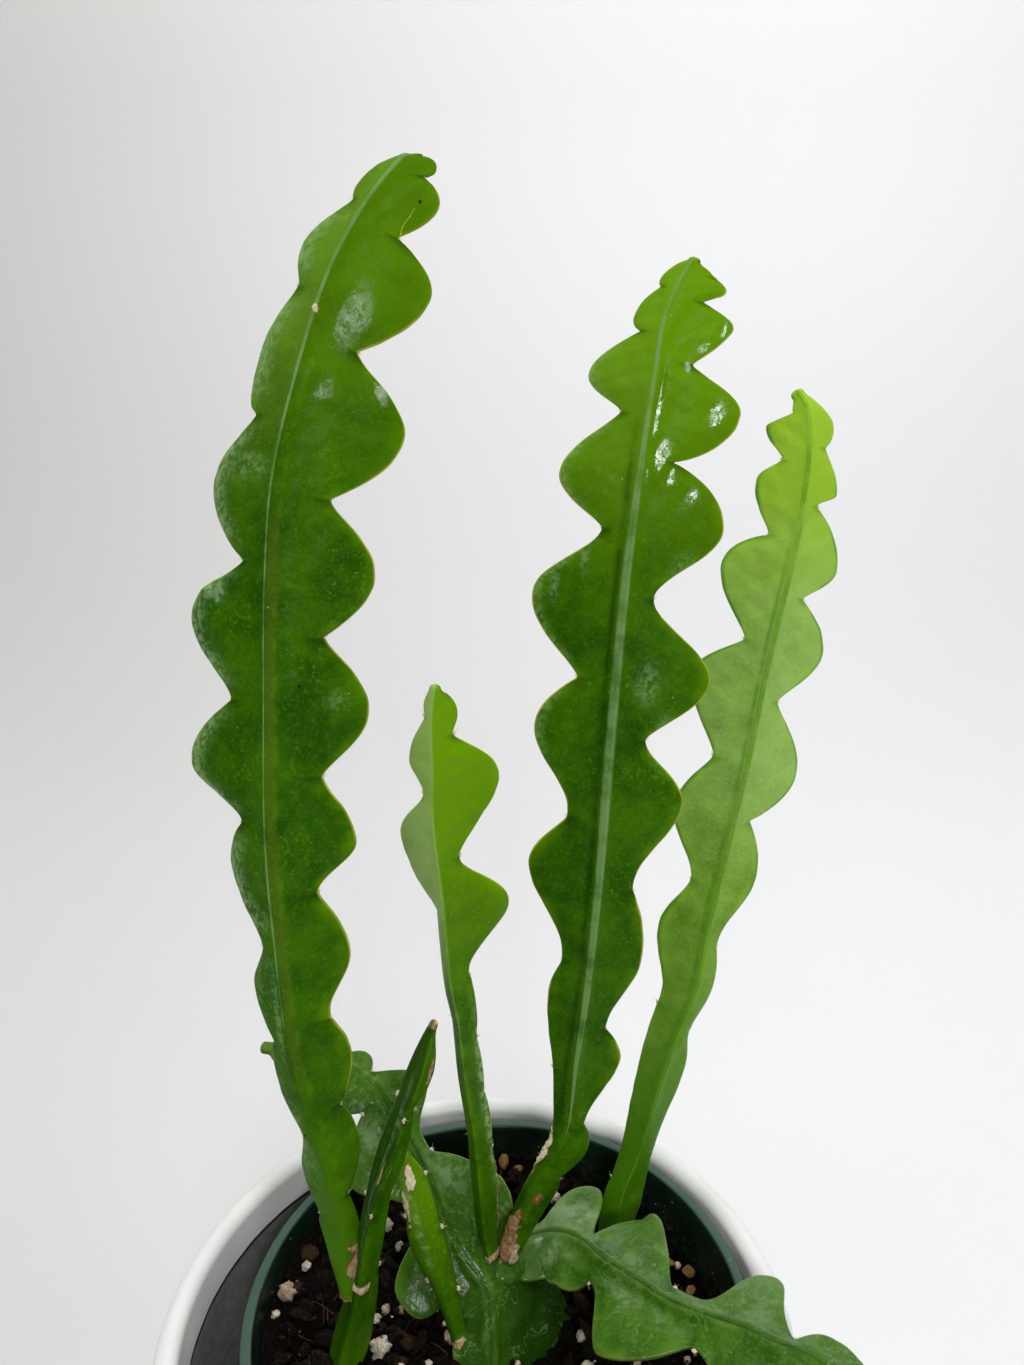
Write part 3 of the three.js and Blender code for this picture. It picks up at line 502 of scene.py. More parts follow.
class Spine:
    """The midrib's path, a centripetal Catmull-Rom curve measured by its length."""

    def __init__(self, points, root):
        points = np.array(points, float)
        if root > 0:
            points = np.vstack([points[0] + unit(points[0] - points[1]) * root, points])
        ghosts = np.vstack([2 * points[0] - points[1], points, 2 * points[-1] - points[-2]])
        self.spans = [self.coefficients(*ghosts[i:i + 4]) for i in range(len(points) - 1)]
        self.root = root
        self.steps = np.linspace(0, len(self.spans), 200 * len(self.spans) + 1)
        places = self.at(self.steps)[0]
        pieces = np.linalg.norm(np.diff(places, axis=0), axis=1)
        self.measured = np.concatenate([[0], np.cumsum(pieces)])
        self.length = self.measured[-1] - root

    @staticmethod
    def coefficients(p0, p1, p2, p3):
        d0, d1, d2 = (np.linalg.norm(b - a) ** 0.5 for a, b in ((p0, p1), (p1, p2), (p2, p3)))
        t1 = ((p1 - p0) / d0 - (p2 - p0) / (d0 + d1) + (p2 - p1) / d1) * d1
        t2 = ((p2 - p1) / d1 - (p3 - p1) / (d1 + d2) + (p3 - p2) / d2) * d1
        return np.array([p1, t1, -3 * p1 + 3 * p2 - 2 * t1 - t2, 2 * p1 - 2 * p2 + t1 + t2])

    def at(self, steps):
        """Places and directions at steps counted in spans."""
        span = np.minimum(steps.astype(int), len(self.spans) - 1)
        t = (steps - span)[:, None]
        c0, c1, c2, c3 = np.array(self.spans)[span].transpose(1, 0, 2)
        return c0 + t * (c1 + t * (c2 + t * c3)), unit(c1 + t * (2 * c2 + t * 3 * c3))

    def frames(self, stations, facing):
        """Place, along, front and right at stations counted in millimetres from the first point."""
        steps = np.interp(stations + self.root, self.measured, self.steps)
        place, along = self.at(steps)
        front = np.array(facing, float) - along * (along @ np.array(facing, float))[:, None]
        front = unit(front)
        return place, along, front, np.cross(along, front)


def reach_at(edge, stations):
    """Reach of a wing: a straight line between two areoles plus the lobe over it."""
    reach = np.where(stations <= edge[0][0], edge[0][1], edge[-1][1]).astype(float)
    for i in range(0, len(edge) - 2, 2):
        (start, low), (crest, high, *lean), (end, last) = edge[i:i + 3]
        lean = lean or (1, 1)
        along = (stations - start) / (end - start)
        peak = (crest - start) / (end - start)
        lift = high - (low + (last - low) * peak)
        off = np.where(along < peak, 1 - along / peak, (along - peak) / (1 - peak))
        swell = (1 - np.clip(off, 0, 1) ** 2) ** np.where(along < peak, *lean)
        lobe = low + (last - low) * along + lift * swell
        reach = np.where((along > 0) & (along <= 1), lobe, reach)
    return reach


# How finely the margins are measured, and the steepest slope that adds rows
FINE_STEP = 0.05
STEEPEST = 3


def rows_of(stem, length):
    """Stations a row step apart, measured along whichever margin is the steepest."""
    fine = np.arange(-stem["root"], length, FINE_STEP)
    slopes = [np.abs(np.gradient(reach_at(wing["edge"], fine), fine)) for wing in stem["wings"]]
    slope = np.minimum(np.max(slopes, axis=0), STEEPEST)
    travelled = np.concatenate([[0], np.cumsum(np.sqrt(1 + slope[1:] ** 2) * FINE_STEP)])
    count = int(travelled[-1] / ROW_STEP)
    return np.interp(np.linspace(0, travelled[-1], count), travelled, fine)


def direction(frames, degrees):
    turn = np.radians(degrees)[:, None]
    return frames[3] * np.cos(turn) + frames[2] * np.sin(turn)


def lobe_of(edge, stations):
    """Which lobe of a wing each station is on, and how far along it, from 0 to 1."""
    areoles = np.array([row[0] for row in edge[::2]] + ([edge[-1][0]] if len(edge) % 2 == 0 else []), float)
    which = np.clip(np.searchsorted(areoles, stations, side="right") - 1, 0, len(areoles) - 2)
    share = (stations - areoles[which]) / (areoles[which + 1] - areoles[which])
    return which, np.clip(share, 0, 1), areoles[which + 1]


# The side value of points that aren't on the front face
HIDDEN = 40

# The skin's columns: distances from the valley beside the midrib, then shares of the flat part, then
# shares of the rim
NEAR = np.array([0, 0.25, 0.5, 0.75, 1.05, 1.35, 1.7, 2.05, 2.4, 2.8, 3.2, 3.7, 4.8])
FAR = np.linspace(0, 1, 17)[1:]
RIM_STEPS = np.array([0.55, 0.2])

# Height and spacing of the skin's unevenness
UNEVEN = [(0.28, 13), (0.16, 5.5), (0.05, 2.2)]

# How far the midrib's thickness spreads into the wings, on a three-angled stem and on a flat one
SPREAD = {"three": 1.4, "flat": 2.1}


def side_fade(length, stations):
    """The lines beside the midrib fade out towards the tip."""
    return smooth(length - stations, 30, 70)


# What is known of each point of the skin, after its three coordinates: its station, its share of the
# wing's reach, its distance from the margin, its distance right of the midrib on the front face, its
# wing, its share of the lobe's length, its distance from the valley, and its face of the wing
CHANNELS = ("station", "share", "edge", "side", "wing", "phase", "reach", "face")


def with_lines(stem, rows, blade, across, reach, front):
    """A face's heights with the midrib's lines added. The back has only those at the middle."""
    for centre, width, height in stem["ridges"]:
        if front or centre == 0:
            strip = table_at(stem["strip"], rows["station"])[:, None]
            shown = np.minimum(strip / 0.35, 1) if height > 0.3 else 1
            ends = rows["side_fade" if centre else "ridge_fade"][:, None]
            blade = blade + height * bump(across, centre, width) * (smooth(reach, 4, 8) * (ends * shown))
    return blade


def skin_relief(stem, place, stations, share, off_lobe_end, seed):
    """Heights of the skin's unevenness and of its side veins, which run out to the lobes' ends."""
    grid = np.stack(np.broadcast_arrays(stations, *place), -1)
    relief = sum(height * waves(grid, spacing, seed + k) for k, (height, spacing) in enumerate(UNEVEN))
    depth, width = stem["vein"]
    vein = -depth * bump(off_lobe_end, 0, width) * smooth(share, 0.1, 0.3) * smooth(1 - share, 0, 0.1)
    return relief + vein


def wing_face(stem, index, side, rows, seed):
    """One face of a wing, as grids of rows and columns out from the valley beside the midrib."""
    stations, rib = rows["station"][:, None], rows["rib"][:, None]
    reach, lobe_end = rows["reach"][index][:, None], rows["lobe_end"][index][:, None]
    valley = rows["valley"][index][side]
    start = (valley * rows["out"][index]).sum(1)[:, None]
    top = side * (valley * rows["normal"][index]).sum(1)[:, None]
    near_end = np.minimum(NEAR[-1], 0.6 * reach)
    rim = np.minimum(BLADE["rim"], 0.15 * reach)
    near = NEAR / NEAR[-1] * near_end
    flat = near_end + FAR * (reach - rim - near_end)
    t = np.hstack([near, flat, reach - rim * RIM_STEPS])
    share = t / reach
    d = t + start * (1 - smooth(t, 0, near_end))

    half = np.minimum(BLADE["flank_half"] + (rib - 2.5) * 0.5, rib * 0.8)
    margin = BLADE["margin_half"]
    plane = margin + (half - margin) * (1 - share ** 1.8)
    three = len(stem["wings"]) > 2
    fall = np.exp(-t / SPREAD["three"]) if three else np.exp(-(t / SPREAD["flat"]) ** 2)
    blade = plane + (top - half) * fall
    front = three or (index == 0) == (side > 0)
    across = t if index == 0 else -t
    blade = with_lines(stem, rows, blade, across, reach, front)
    past = np.clip((t - (reach - rim)) / rim, 0, 1)
    blade = blade * np.sqrt(1 - past ** 2)
    inner = np.clip((d - start) / (reach - start), 0, 1)
    oval = top * np.sqrt(1 - inner ** 2.2)
    flatness = smooth((reach - rib) / rib, 0.1, 1.3) * stem["flat"]
    high = oval + (blade - oval) * flatness

    away = np.abs(stations - (lobe_end - 0.9 * reach + 0.9 * d)) * 0.74
    relief = skin_relief(stem, (d + 50 * index, 20.0 * side), stations, share, away, seed)
    fade = smooth(t, 0.6, 3) * (1 - 0.6 * share ** 4) * flatness
    high = high + relief * fade * smooth(stations, 0, stem["calm"]) * stem["relief"]
    shown_side = across if front and not three else HIDDEN
    return {"t": t, "d": d, "share": share, "high": high, "side": shown_side}


def rows_along(stem, spine, seed):
    """The skin's rows: where they are, and each wing's reach, lobes and directions there."""
    stations = rows_of(stem, spine.length)
    frames = spine.frames(stations, stem["facing"])
    wings = stem["wings"]
    angles = [table_at(wing["angle"], stations) for wing in wings]
    rib = table_at(stem["rib"], stations)
    valley_reach = (rib * (0.85 if len(wings) > 2 else 1))[:, None]
    rows = {"station": stations, "place": frames[0], "along": frames[1], "rib": rib}
    rows["ridge_fade"] = smooth(spine.length - stations, 2, 20)
    rows["side_fade"] = side_fade(spine.length, stations)
    for key in ("reach", "lobe", "phase", "lobe_end", "out", "normal", "valley"):
        rows[key] = []
    for i, wing in enumerate(wings):
        before = angles[i - 1] if i > 0 else angles[-1] - 360
        after = angles[i + 1] if i + 1 < len(wings) else angles[0] + 360
        jitter = waves(stations[:, None] + 100 * i, 8, seed + 30 + i)
        reach = reach_at(wing["edge"], stations)
        rows["reach"].append(reach + 0.08 * jitter * smooth(reach, 4, 9))
        for key, value in zip(("lobe", "phase", "lobe_end"), lobe_of(wing["edge"], stations)):
            rows[key].append(value)
        rows["out"].append(direction(frames, angles[i]))
        rows["normal"].append(direction(frames, angles[i] + 90))
        rows["valley"].append({
            -1: direction(frames, (before + angles[i]) / 2) * valley_reach,
            1: direction(frames, (angles[i] + after) / 2) * valley_reach,
        })
    return rows


def set_out(rows, wing, index, cups, distance, high):
    """Points at distances out along a wing and heights off it, where it leans, cups, curls and sweeps."""
    reach, phase = rows["reach"][index][:, None], rows["phase"][index][:, None]
    roll, sweep = (table_at(wing[key], rows["station"])[:, None] for key in ("roll", "sweep"))
    back = -1 if index == 0 else 1
    size = smooth(reach, 5, 18)
    lobe = np.sin(math.pi * phase) * size
    tuck = bump(phase, 0.93, 0.05) - 0.7 * bump(phase, 0.05, 0.05)
    r = distance / reach
    bend = roll * distance * r
    bend = bend + 0.9 * cups * lobe * r ** 2
    bend = bend + back * wing["curl"] * lobe ** 0.5 * np.clip(r, 0, 1) ** 3.2
    bend = bend + back * 0.55 * tuck * np.clip(r, 0, 1) ** 2 * size
    spot = rows["place"][:, None] + rows["out"][index][:, None] * distance[..., None]
    spot = spot + rows["normal"][index][:, None] * (bend + high)[..., None]
    return spot + rows["along"][:, None] * (sweep * distance)[..., None]


def with_values(spots, *values):
    """Points with the numbers of CHANNELS behind their coordinates."""
    grids = np.broadcast_arrays(spots[..., 0], *values)[1:]
    return np.concatenate([spots, np.stack(grids, -1)], -1)


def skin_rings(stem, spine, rows, seed):
    """The stem's skin as rings of points, with what is known of each."""
    columns = []
    station = rows["station"][:, None]
    for i, wing in enumerate(stem["wings"]):
        reach, phase, lobe = rows["reach"][i][:, None], rows["phase"][i][:, None], rows["lobe"][i]
        draw = np.random.default_rng(seed + 60 + i)
        cups = draw.uniform(-1, 1, lobe.max() + 1)[lobe][:, None]
        left, right = (wing_face(stem, i, side, rows, seed) for side in (-1, 1))
        for face, side in ((left, -1), (right, 1)):
            spots = set_out(rows, wing, i, cups, face["d"], side * face["high"])
            if side < 0:
                spots[:, 0] = rows["valley"][i][side] + rows["place"]
            known = (station, face["share"], reach - face["t"], face["side"], i, phase, face["t"], side)
            face["points"] = with_values(spots, *known)
        edge = set_out(rows, wing, i, cups, reach, 0 * reach)
        columns += [left["points"], with_values(edge, station, 1, 0, HIDDEN, i, phase, reach, 0)]
        columns += [right["points"][:, :0:-1]]
    return np.concatenate(columns, 1)[:, ::-1]


# The stems' skin

def marks_on(stem, skin, spots, seed):
    """How corky each point is, from 0 to 1, and how brown the cork is."""
    rough = 0.28 * waves(spots, 3.4, seed + 90) + 0.14 * waves(spots, 1.3, seed + 91)
    cork, brown = np.zeros(rough.shape), np.zeros(rough.shape)
    for centre, which, middle, length, width, tone in stem["marks"]:
        away = np.hypot((skin["station"] - centre) / length, (skin["share"] - middle) / width)
        if which is not None:
            away = np.where(skin["wing"] == which, away, 9)
        here = smooth(1.15 - away + rough, 0, 0.35)
        brown = np.where(here > cork, tone, brown)
        cork = np.maximum(cork, here)
    return cork, brown


def painted_sheens_on(stem, skin):
    """How strong the painted sheen, a greyish painted highlight, is on each point, from 0 to 1."""
    station, wing, phase = skin["station"], skin["wing"], skin["phase"]
    seen = np.abs(skin["side"]) < HIDDEN
    painted_sheen = np.zeros(station.shape)
    for which, at, distance, half_length, half_width, share in stem["painted_sheens"]:
        away = np.hypot((station - at) / half_length, (skin["reach"] - distance) / half_width)
        here = (wing == which) * (skin["face"] > 0 if share < 0 else seen)
        painted_sheen = np.maximum(painted_sheen, abs(share) * (1 - smooth(away, 0.4, 1.5)) * here)
    # Painted sheens along a wing's margin
    for which, low, high, share, width in stem["rims"]:
        here = smooth(station, low, low + 20) * (1 - smooth(station, high - 20, high))
        here = here * smooth(phase, 0.05, 0.25) * (1 - smooth(phase, 0.75, 0.95))
        here = here * (1 - smooth(skin["edge"], 0.2 * width, width))
        painted_sheen = np.maximum(painted_sheen, share * here * (wing == which) * seen)
    return painted_sheen


def nearest(skin, which, at, distance):
    """Row and column of the front point at a station and a distance out along a wing."""
    signed = distance if which == 0 else -distance
    off = (skin["station"] - at) ** 2 + (skin["side"] - signed) ** 2 + 1000 * (skin["wing"] != which)
    return np.unravel_index(np.argmin(off), off.shape)


def flatten_glints(stem, skin, spots):
    """Levels small parts of the front face so that the camera sees the window in them, and says how
    glossy each point is."""
    raised = np.array((0, 0, OUTER_POT["height"]))
    eye = np.array(CAMERA["place"]) / MM - raised
    lamp = np.array(WINDOW["place"]) / MM - raised
    gloss = np.zeros(spots.shape[:2])
    for which, at, distance, half_length, half_width, strength in stem["glints"]:
        row, column = nearest(skin, which, at, distance)
        spot = spots[row, column]
        level = unit(unit(eye - spot) + unit(lamp - spot))
        along = spots[row + 2, column] - spots[row - 2, column]
        along = unit(along - level * (along @ level))
        gap = spots - spot
        reach = np.hypot(gap @ along / half_length, gap @ np.cross(level, along) / half_width)
        hold = (1 - smooth(reach, 0.8, 1.9)) * (skin["wing"] == which) * (np.abs(skin["side"]) < HIDDEN)
        spots = spots - level * ((gap @ level) * hold)[..., None]
        gloss = np.maximum(gloss, strength * hold)
    return spots, gloss


def colour_values(stem, skin, length):
    """The grids of numbers that the skin's colours use, but for the cork, the dry tip and the gloss."""
    station, side, face, wing = skin["station"], skin["side"], skin["face"], skin["wing"].astype(int)
    groove, lift = np.zeros(side.shape), np.zeros(side.shape)
    for middle, width, height in stem["ridges"]:
        here = bump(side, middle, width) * side_fade(length, station)
        if height < 0:
            groove = np.maximum(groove, here)
        elif middle:
            lift = np.maximum(lift, here)
    reaches = np.stack([reach_at(row["edge"], station[:, 0]) for row in stem["wings"]], -1)
    narrow = np.take_along_axis(1 - smooth(reaches, 5, 12), wing, 1)
    start, end, low, high = stem["band"]
    band = smooth(side, start - 0.3, start + 0.3) * (1 - smooth(side, end - 0.4, end + 0.4))
    band = band * smooth(station, low, low + 15) * (1 - smooth(station, high - 20, high + 0.1))
    # Painted shade: the left face of a three-angled stem is painted darker
    left_face = ((wing == 1) & (face > 0)) | ((wing == 2) & (face < 0))
    # Painted shadow: a wing painted darker up to a station, where another stem shades it
    which, last, share = stem["dark"]
    dark = share * (wing == which) * smooth(skin["reach"], 3, 9) * (1 - smooth(station, last - 20, last))
    return {
        "along": np.clip(station / length, 0, 1),
        "painted_sheen": painted_sheens_on(stem, skin),
        "band": band,
        "dim": np.maximum(stem["dim"] * left_face, dark),
        "edge": skin["edge"] + 5 * narrow,
        "side": side,
        "strip": table_at(stem["strip"], station),
        "groove": groove,
        "lift": lift,
        "fresh": np.full(side.shape, stem["fresh"]),
        "haze": np.choose(wing, [table_at(rows, station) for rows in stem["haze"]]),
        "foot": np.full(side.shape, stem["foot"]),
        # Painted shade just under each areole, where the lower lobe tucks behind
        "under": bump(skin["phase"], 1, 0.07) * smooth(skin["share"], 0.45, 0.9),
    }


def add_stem(name, number, creases, dots):
    stem = STEMS[name]
    seed = 100 * number
    spine = Spine(stem["spine"], stem["root"])
    rows = rows_along(stem, spine, seed)
    rings = skin_rings(stem, spine, rows, seed)
    skin = dict(zip(CHANNELS, np.moveaxis(rings[..., 3:], -1, 0)))
    values = colour_values(stem, skin, spine.length)
    spots, values["gloss"] = flatten_glints(stem, skin, rings[..., :3])
    values["cork"], values["brown"] = marks_on(stem, skin, spots, seed)
    values["dry"] = np.zeros(spots.shape[:2])
    if stem["dry_tip"]:
        ragged = skin["station"] + 1.2 * waves(spots, 3, seed + 92) - spine.length
        values["dry"] = smooth(ragged, -stem["dry_tip"], -0.3 * stem["dry_tip"])
    outward = unit(spots - spots.mean(1, keepdims=True))
    spots = spots + outward * (0.3 * values["cork"] * (1 + waves(spots, 1.6, seed + 93)))[..., None]

    onward, middle = rows["along"][-1], spots[-1].mean(0)
    ends = [middle + (spots[-1] - middle) * math.cos(turn) + onward * 1.3 * math.sin(turn)
            for turn in (0.4, 0.8, 1.2)]
    spots = np.concatenate([spots, np.array(ends)])
    points = np.vstack([spots.reshape(-1, 3), spots[0].mean(0), spots[-1].mean(0) + onward * 0.1])

    def on_all_points(grid):
        flat = np.concatenate([grid, np.repeat(grid[-1:], len(ends), 0)]).ravel()
        return np.concatenate([flat, [grid[0].mean(), grid[-1].mean()]])

    values = {key: on_all_points(grid) for key, grid in values.items()}
    look = stem["skin"]
    add_piece(name + "_skin", points, capped(*spots.shape[:2]), SKINS[look], SLOTS[look], [name], values)
    add_fine_marks(stem, skin, spots, creases, dots)


def add_fine_marks(stem, skin, spots, creases, dots):
    """The creases and specks that lie on the skin."""
    for which, path in stem["creases"]:
        fine = np.linspace(path[0], path[-1], 13)
        fine[:, 1] = np.interp(fine[:, 0], *np.array(path, float).T)
        line = np.array([spots[nearest(skin, which, *row)] for row in fine])
        line[1:-1] = (line[:-2] + line[1:-1] * 2 + line[2:]) / 4
        creases.add(*tube(line, np.linspace(0.2, 0.08, len(line)), 8))
    for which, at, distance in stem["dots"]:
        points, faces = ball(6, 9)
        dots.add(points * (0.45, 0.3, 0.4) + spots[nearest(skin, which, at, distance)], faces)


# Materials

def tint(red, green, blue):
    """A colour given as on a screen, 0 to 255, as the numbers that light adds up in."""
    shares = [c / 255 for c in (red, green, blue)]
    linear = [s / 12.92 if s <= 0.04045 else ((s + 0.055) / 1.055) ** 2.4 for s in shares]
    return (*linear, 1)


class Shader:
    """One procedural material, built node by node."""

    def __init__(self, name):
        self.material = bpy.data.materials.new(name)
        self.material.use_nodes = True
        self.tree = self.material.node_tree
        self.surface = self.tree.nodes["Principled BSDF"]
        self.place = self.node("ShaderNodeTexCoord").outputs["Object"]

    def node(self, kind, **settings):
        node = self.tree.nodes.new(kind)
        for key, value in settings.items():
            setattr(node, key, value)
        return node

    def feed(self, socket, value):
        if isinstance(value, bpy.types.NodeSocket):
            self.tree.links.new(value, socket)
        else:
            socket.default_value = value

    def maths(self, operation, a, b=0.0):
        node = self.node("ShaderNodeMath", operation=operation)
        self.feed(node.inputs[0], a)
        self.feed(node.inputs[1], b)
        return node.outputs[0]

    def times(self, a, b):
        return self.maths("MULTIPLY", a, b)

    def value(self, name):
        return self.node("ShaderNodeAttribute", attribute_name=name).outputs["Fac"]

    def noise(self, size, detail=2.0, roughness=0.5, distortion=0.0):
        """Cloudy noise, 0 to 1, whose blots are about size millimetres apart."""
        node = self.node("ShaderNodeTexNoise")
        self.feed(node.inputs["Vector"], self.place)
        self.feed(node.inputs["Scale"], 1 / (size * MM))
        self.feed(node.inputs["Detail"], detail)
        self.feed(node.inputs["Roughness"], roughness)
        self.feed(node.inputs["Distortion"], distortion)
        return node.outputs["Fac"]

    def cells(self, size):
        """Distance to the nearest of many points that are about size millimetres apart."""
        node = self.node("ShaderNodeTexVoronoi")
        self.feed(node.inputs["Vector"], self.place)
        self.feed(node.inputs["Scale"], 1 / (size * MM))
        return node.outputs["Distance"]

    def ease(self, value, low, high, start=0.0, end=1.0):
        """Smoothly from start where value is low to end where it is high."""
        node = self.node("ShaderNodeMapRange", interpolation_type="SMOOTHSTEP")
        self.feed(node.inputs["Value"], value)
        self.feed(node.inputs["From Min"], low)
        self.feed(node.inputs["From Max"], high)
        self.feed(node.inputs["To Min"], start)
        self.feed(node.inputs["To Max"], end)
        return node.outputs["Result"]

    def mix(self, share, a, b):
        node = self.node("ShaderNodeMix", data_type="RGBA")
        for socket, value in ((0, share), (6, a), (7, b)):
            self.feed(node.inputs[socket], value)
        return node.outputs[2]

    def layered(self, colour, layers):
        """Colours laid over one another, each by its share from 0 to 1."""
        for share, over in layers:
            colour = self.mix(share, colour, over)
        return colour

    def raise_by(self, heights):
        """Bump from pairs of height, 0 to 1, and its size in millimetres."""
        normal = None
        for height, size in heights:
            node = self.node("ShaderNodeBump")
            node.inputs["Strength"].default_value = 1
            node.inputs["Distance"].default_value = size * MM
            self.feed(node.inputs["Height"], height)
            if normal is not None:
                self.tree.links.new(normal, node.inputs["Normal"])
            normal = node.outputs["Normal"]
        self.tree.links.new(normal, self.surface.inputs["Normal"])

    def finish(self, colour, roughness, **inputs):
        self.feed(self.surface.inputs["Base Color"], colour)
        self.feed(self.surface.inputs["Roughness"], roughness)
        for key, value in inputs.items():
            self.feed(self.surface.inputs[key.replace("_", " ")], value)
        return self.material


def green_colour(s, look):
    """The living skin, from its deep green up to the dust on it."""
    along, edge, half = s.value("along"), s.value("edge"), s.value("strip")
    # The thin margins and streaks are painted lighter, painted light shining through the thin tissue
    streak = s.times(s.ease(s.noise(1.8, 4, 0.6), 0.56, 0.68), s.ease(s.noise(15, 1), 0.5, 0.62))
    # The foot colour; on the old skin it is painted shade, darker towards the base
    foot = s.times(s.ease(along, look["foot_to"], 0, 0, look["foot_share"]), s.value("foot"))
    tip = s.times(s.ease(along, look["tip_from"], 1), s.value("fresh"))
    thin = s.times(s.ease(edge, 5, 0.6, 0, 0.55), s.ease(s.noise(8, 2), 0.35, 0.65, 0.2, 1))
    haze = s.times(s.value("haze"), s.ease(s.noise(12, 3), 0.3, 0.6, 0.6, 1))
    # Painted shade in the grooves beside the midrib
    painted_groove_shade = s.times(s.value("groove"), s.ease(s.noise(6, 2), 0.35, 0.6, 0.15, 0.65))
    raised = s.times(s.value("lift"), s.ease(s.noise(5, 2), 0.4, 0.6, 0, 0.45))
    # The line along the midrib: its own colour and, where it is paler, partly a painted highlight on the rib
    outer = s.maths("ADD", s.times(half, 1.25), 0.12)
    strip = s.ease(s.maths("ABSOLUTE", s.value("side")), outer, s.times(half, 0.75), 0, look["strip_share"])
    strip = s.times(strip, s.maths("GREATER_THAN", half, 0.01))
    strip = s.times(strip, s.ease(s.noise(8, 4, 0.6), 0.38, 0.58, 0.4, 1))
    # A painted sheen: greyish highlights painted into the colour, broken up by noise
    painted_sheen = s.times(s.value("painted_sheen"), s.ease(s.noise(look["grain"], 5, 0.65), 0.42, 0.57, 0.12, 1))
    line = s.ease(edge, look["margin_to"], 0.3, 0, look["margin_share"])
    line = s.times(line, s.ease(s.noise(9, 2), 0.35, 0.6, 0.4, 1))
    dust = s.times(s.ease(s.cells(2.4), 0.1, 0.05, 0, 0.5), s.ease(s.noise(7, 1), 0.58, 0.72))
    return s.layered(look["deep"], [
        (s.ease(s.noise(16, 3), 0.32, 0.68), look["light"]),
        (s.ease(s.noise(4, 2), 0.42, 0.7, 0, 0.45), look["light"]),
        (s.ease(s.noise(0.9, 3, 0.6), 0.45, 0.75, 0, 0.5), look["fleck"]),
        (s.ease(s.noise(2, 4, 0.7), 0.46, 0.62, 0, 0.4), look["deep"]),
        (s.times(streak, 0.4), look["thin"]),
        (foot, look["foot"]),
        (tip, look["tip"]),
        (thin, look["thin"]),
        (haze, look["haze"]),
        # Painted shade just under each areole
        (s.times(s.value("under"), 0.6), look["shade"]),
        # Painted shade on a three-angled stem's left face, and a painted shadow on a darkened wing
        (s.value("dim"), look["shade"]),
        (painted_groove_shade, look["shade"]),
        (s.times(s.value("band"), 0.4), tint(88, 104, 26)),
        (raised, look["fleck"]),
        (strip, look["ridge"]),
        (painted_sheen, look["painted_sheen"]),
        (line, look["margin"]),
        (dust, tint(206, 212, 190)),
    ])


def with_water_marks(s, body, strength):
    """Thin pale outlines, where drops have dried."""
    rings = s.noise(13, 4, 0.55, 0.6)
    near, far = (s.maths("ABSOLUTE", s.maths("SUBTRACT", rings, level)) for level in (0.52, 0.42))
    near = s.ease(near, 0.011, 0.002, 0, strength)
    far = s.ease(far, 0.009, 0.002, 0, strength)
    lines = s.maths("MAXIMUM", near, s.times(far, 0.7))
    return s.mix(s.times(lines, s.ease(s.noise(18, 1), 0.44, 0.6)), body, tint(160, 188, 130))


def with_cork(s, body, cork, dry):
    """Corky scabs with a dark rim, pale or brown, and the straw of a dry tip."""
    pale = s.mix(s.ease(s.noise(1.2, 4, 0.7), 0.35, 0.6), tint(214, 196, 150), tint(234, 226, 196))
    bark = s.mix(s.ease(s.noise(1.2, 4, 0.7), 0.35, 0.7), tint(104, 66, 26), tint(182, 132, 72))
    bark = s.mix(s.value("brown"), pale, bark)
    bark = s.mix(s.ease(s.cells(1.4), 0.1, 0.3, 0.6, 0), bark, tint(95, 62, 36))
    rim = s.times(s.ease(cork, 0.1, 0.4), s.ease(cork, 0.9, 0.5))
    straw = s.mix(s.ease(s.noise(1, 4), 0.4, 0.6), tint(120, 84, 50), tint(190, 160, 118))
    return s.layered(body, [
        (s.ease(cork, 0.25, 0.6), bark),
        (s.times(rim, 0.6), tint(78, 52, 28)),
        (dry, straw),
    ])


def skin_material(name, look):
    s = Shader(name)
    look = {key: tint(*value) if isinstance(value, tuple) else value for key, value in look.items()}
    cork, dry, gloss = s.value("cork"), s.value("dry"), s.value("gloss")
    body = green_colour(s, look)
    if look["water"]:
        body = with_water_marks(s, body, look["water"])
    body = with_cork(s, body, cork, dry)
    patch = s.times(gloss, s.ease(s.noise(1.8, 5, 0.65), 0.4, 0.53, 0.05, 1))
    rough = s.ease(s.noise(6, 3), 0.35, 0.7, look["rough"] - 0.04, look["rough"] + 0.08)
    rough = s.maths("SUBTRACT", rough, s.times(gloss, look["rough"] - 0.14))
    rough = s.maths("MAXIMUM", rough, s.times(s.maths("MAXIMUM", cork, dry), 0.75))
    shine = s.maths("ADD", s.times(patch, 0.45 - look["shine"]), look["shine"])
    s.raise_by([(s.noise(2.2, 2), look["bumps"]), (s.noise(0.55, 2), 0.02), (s.noise(0.25, 1), 0.006)])
    return s.finish(
        body, rough, Specular_IOR_Level=shine, Subsurface_Weight=0.1, Subsurface_Scale=1.2 * MM,
        Subsurface_Radius=(0.6, 1.0, 0.15))
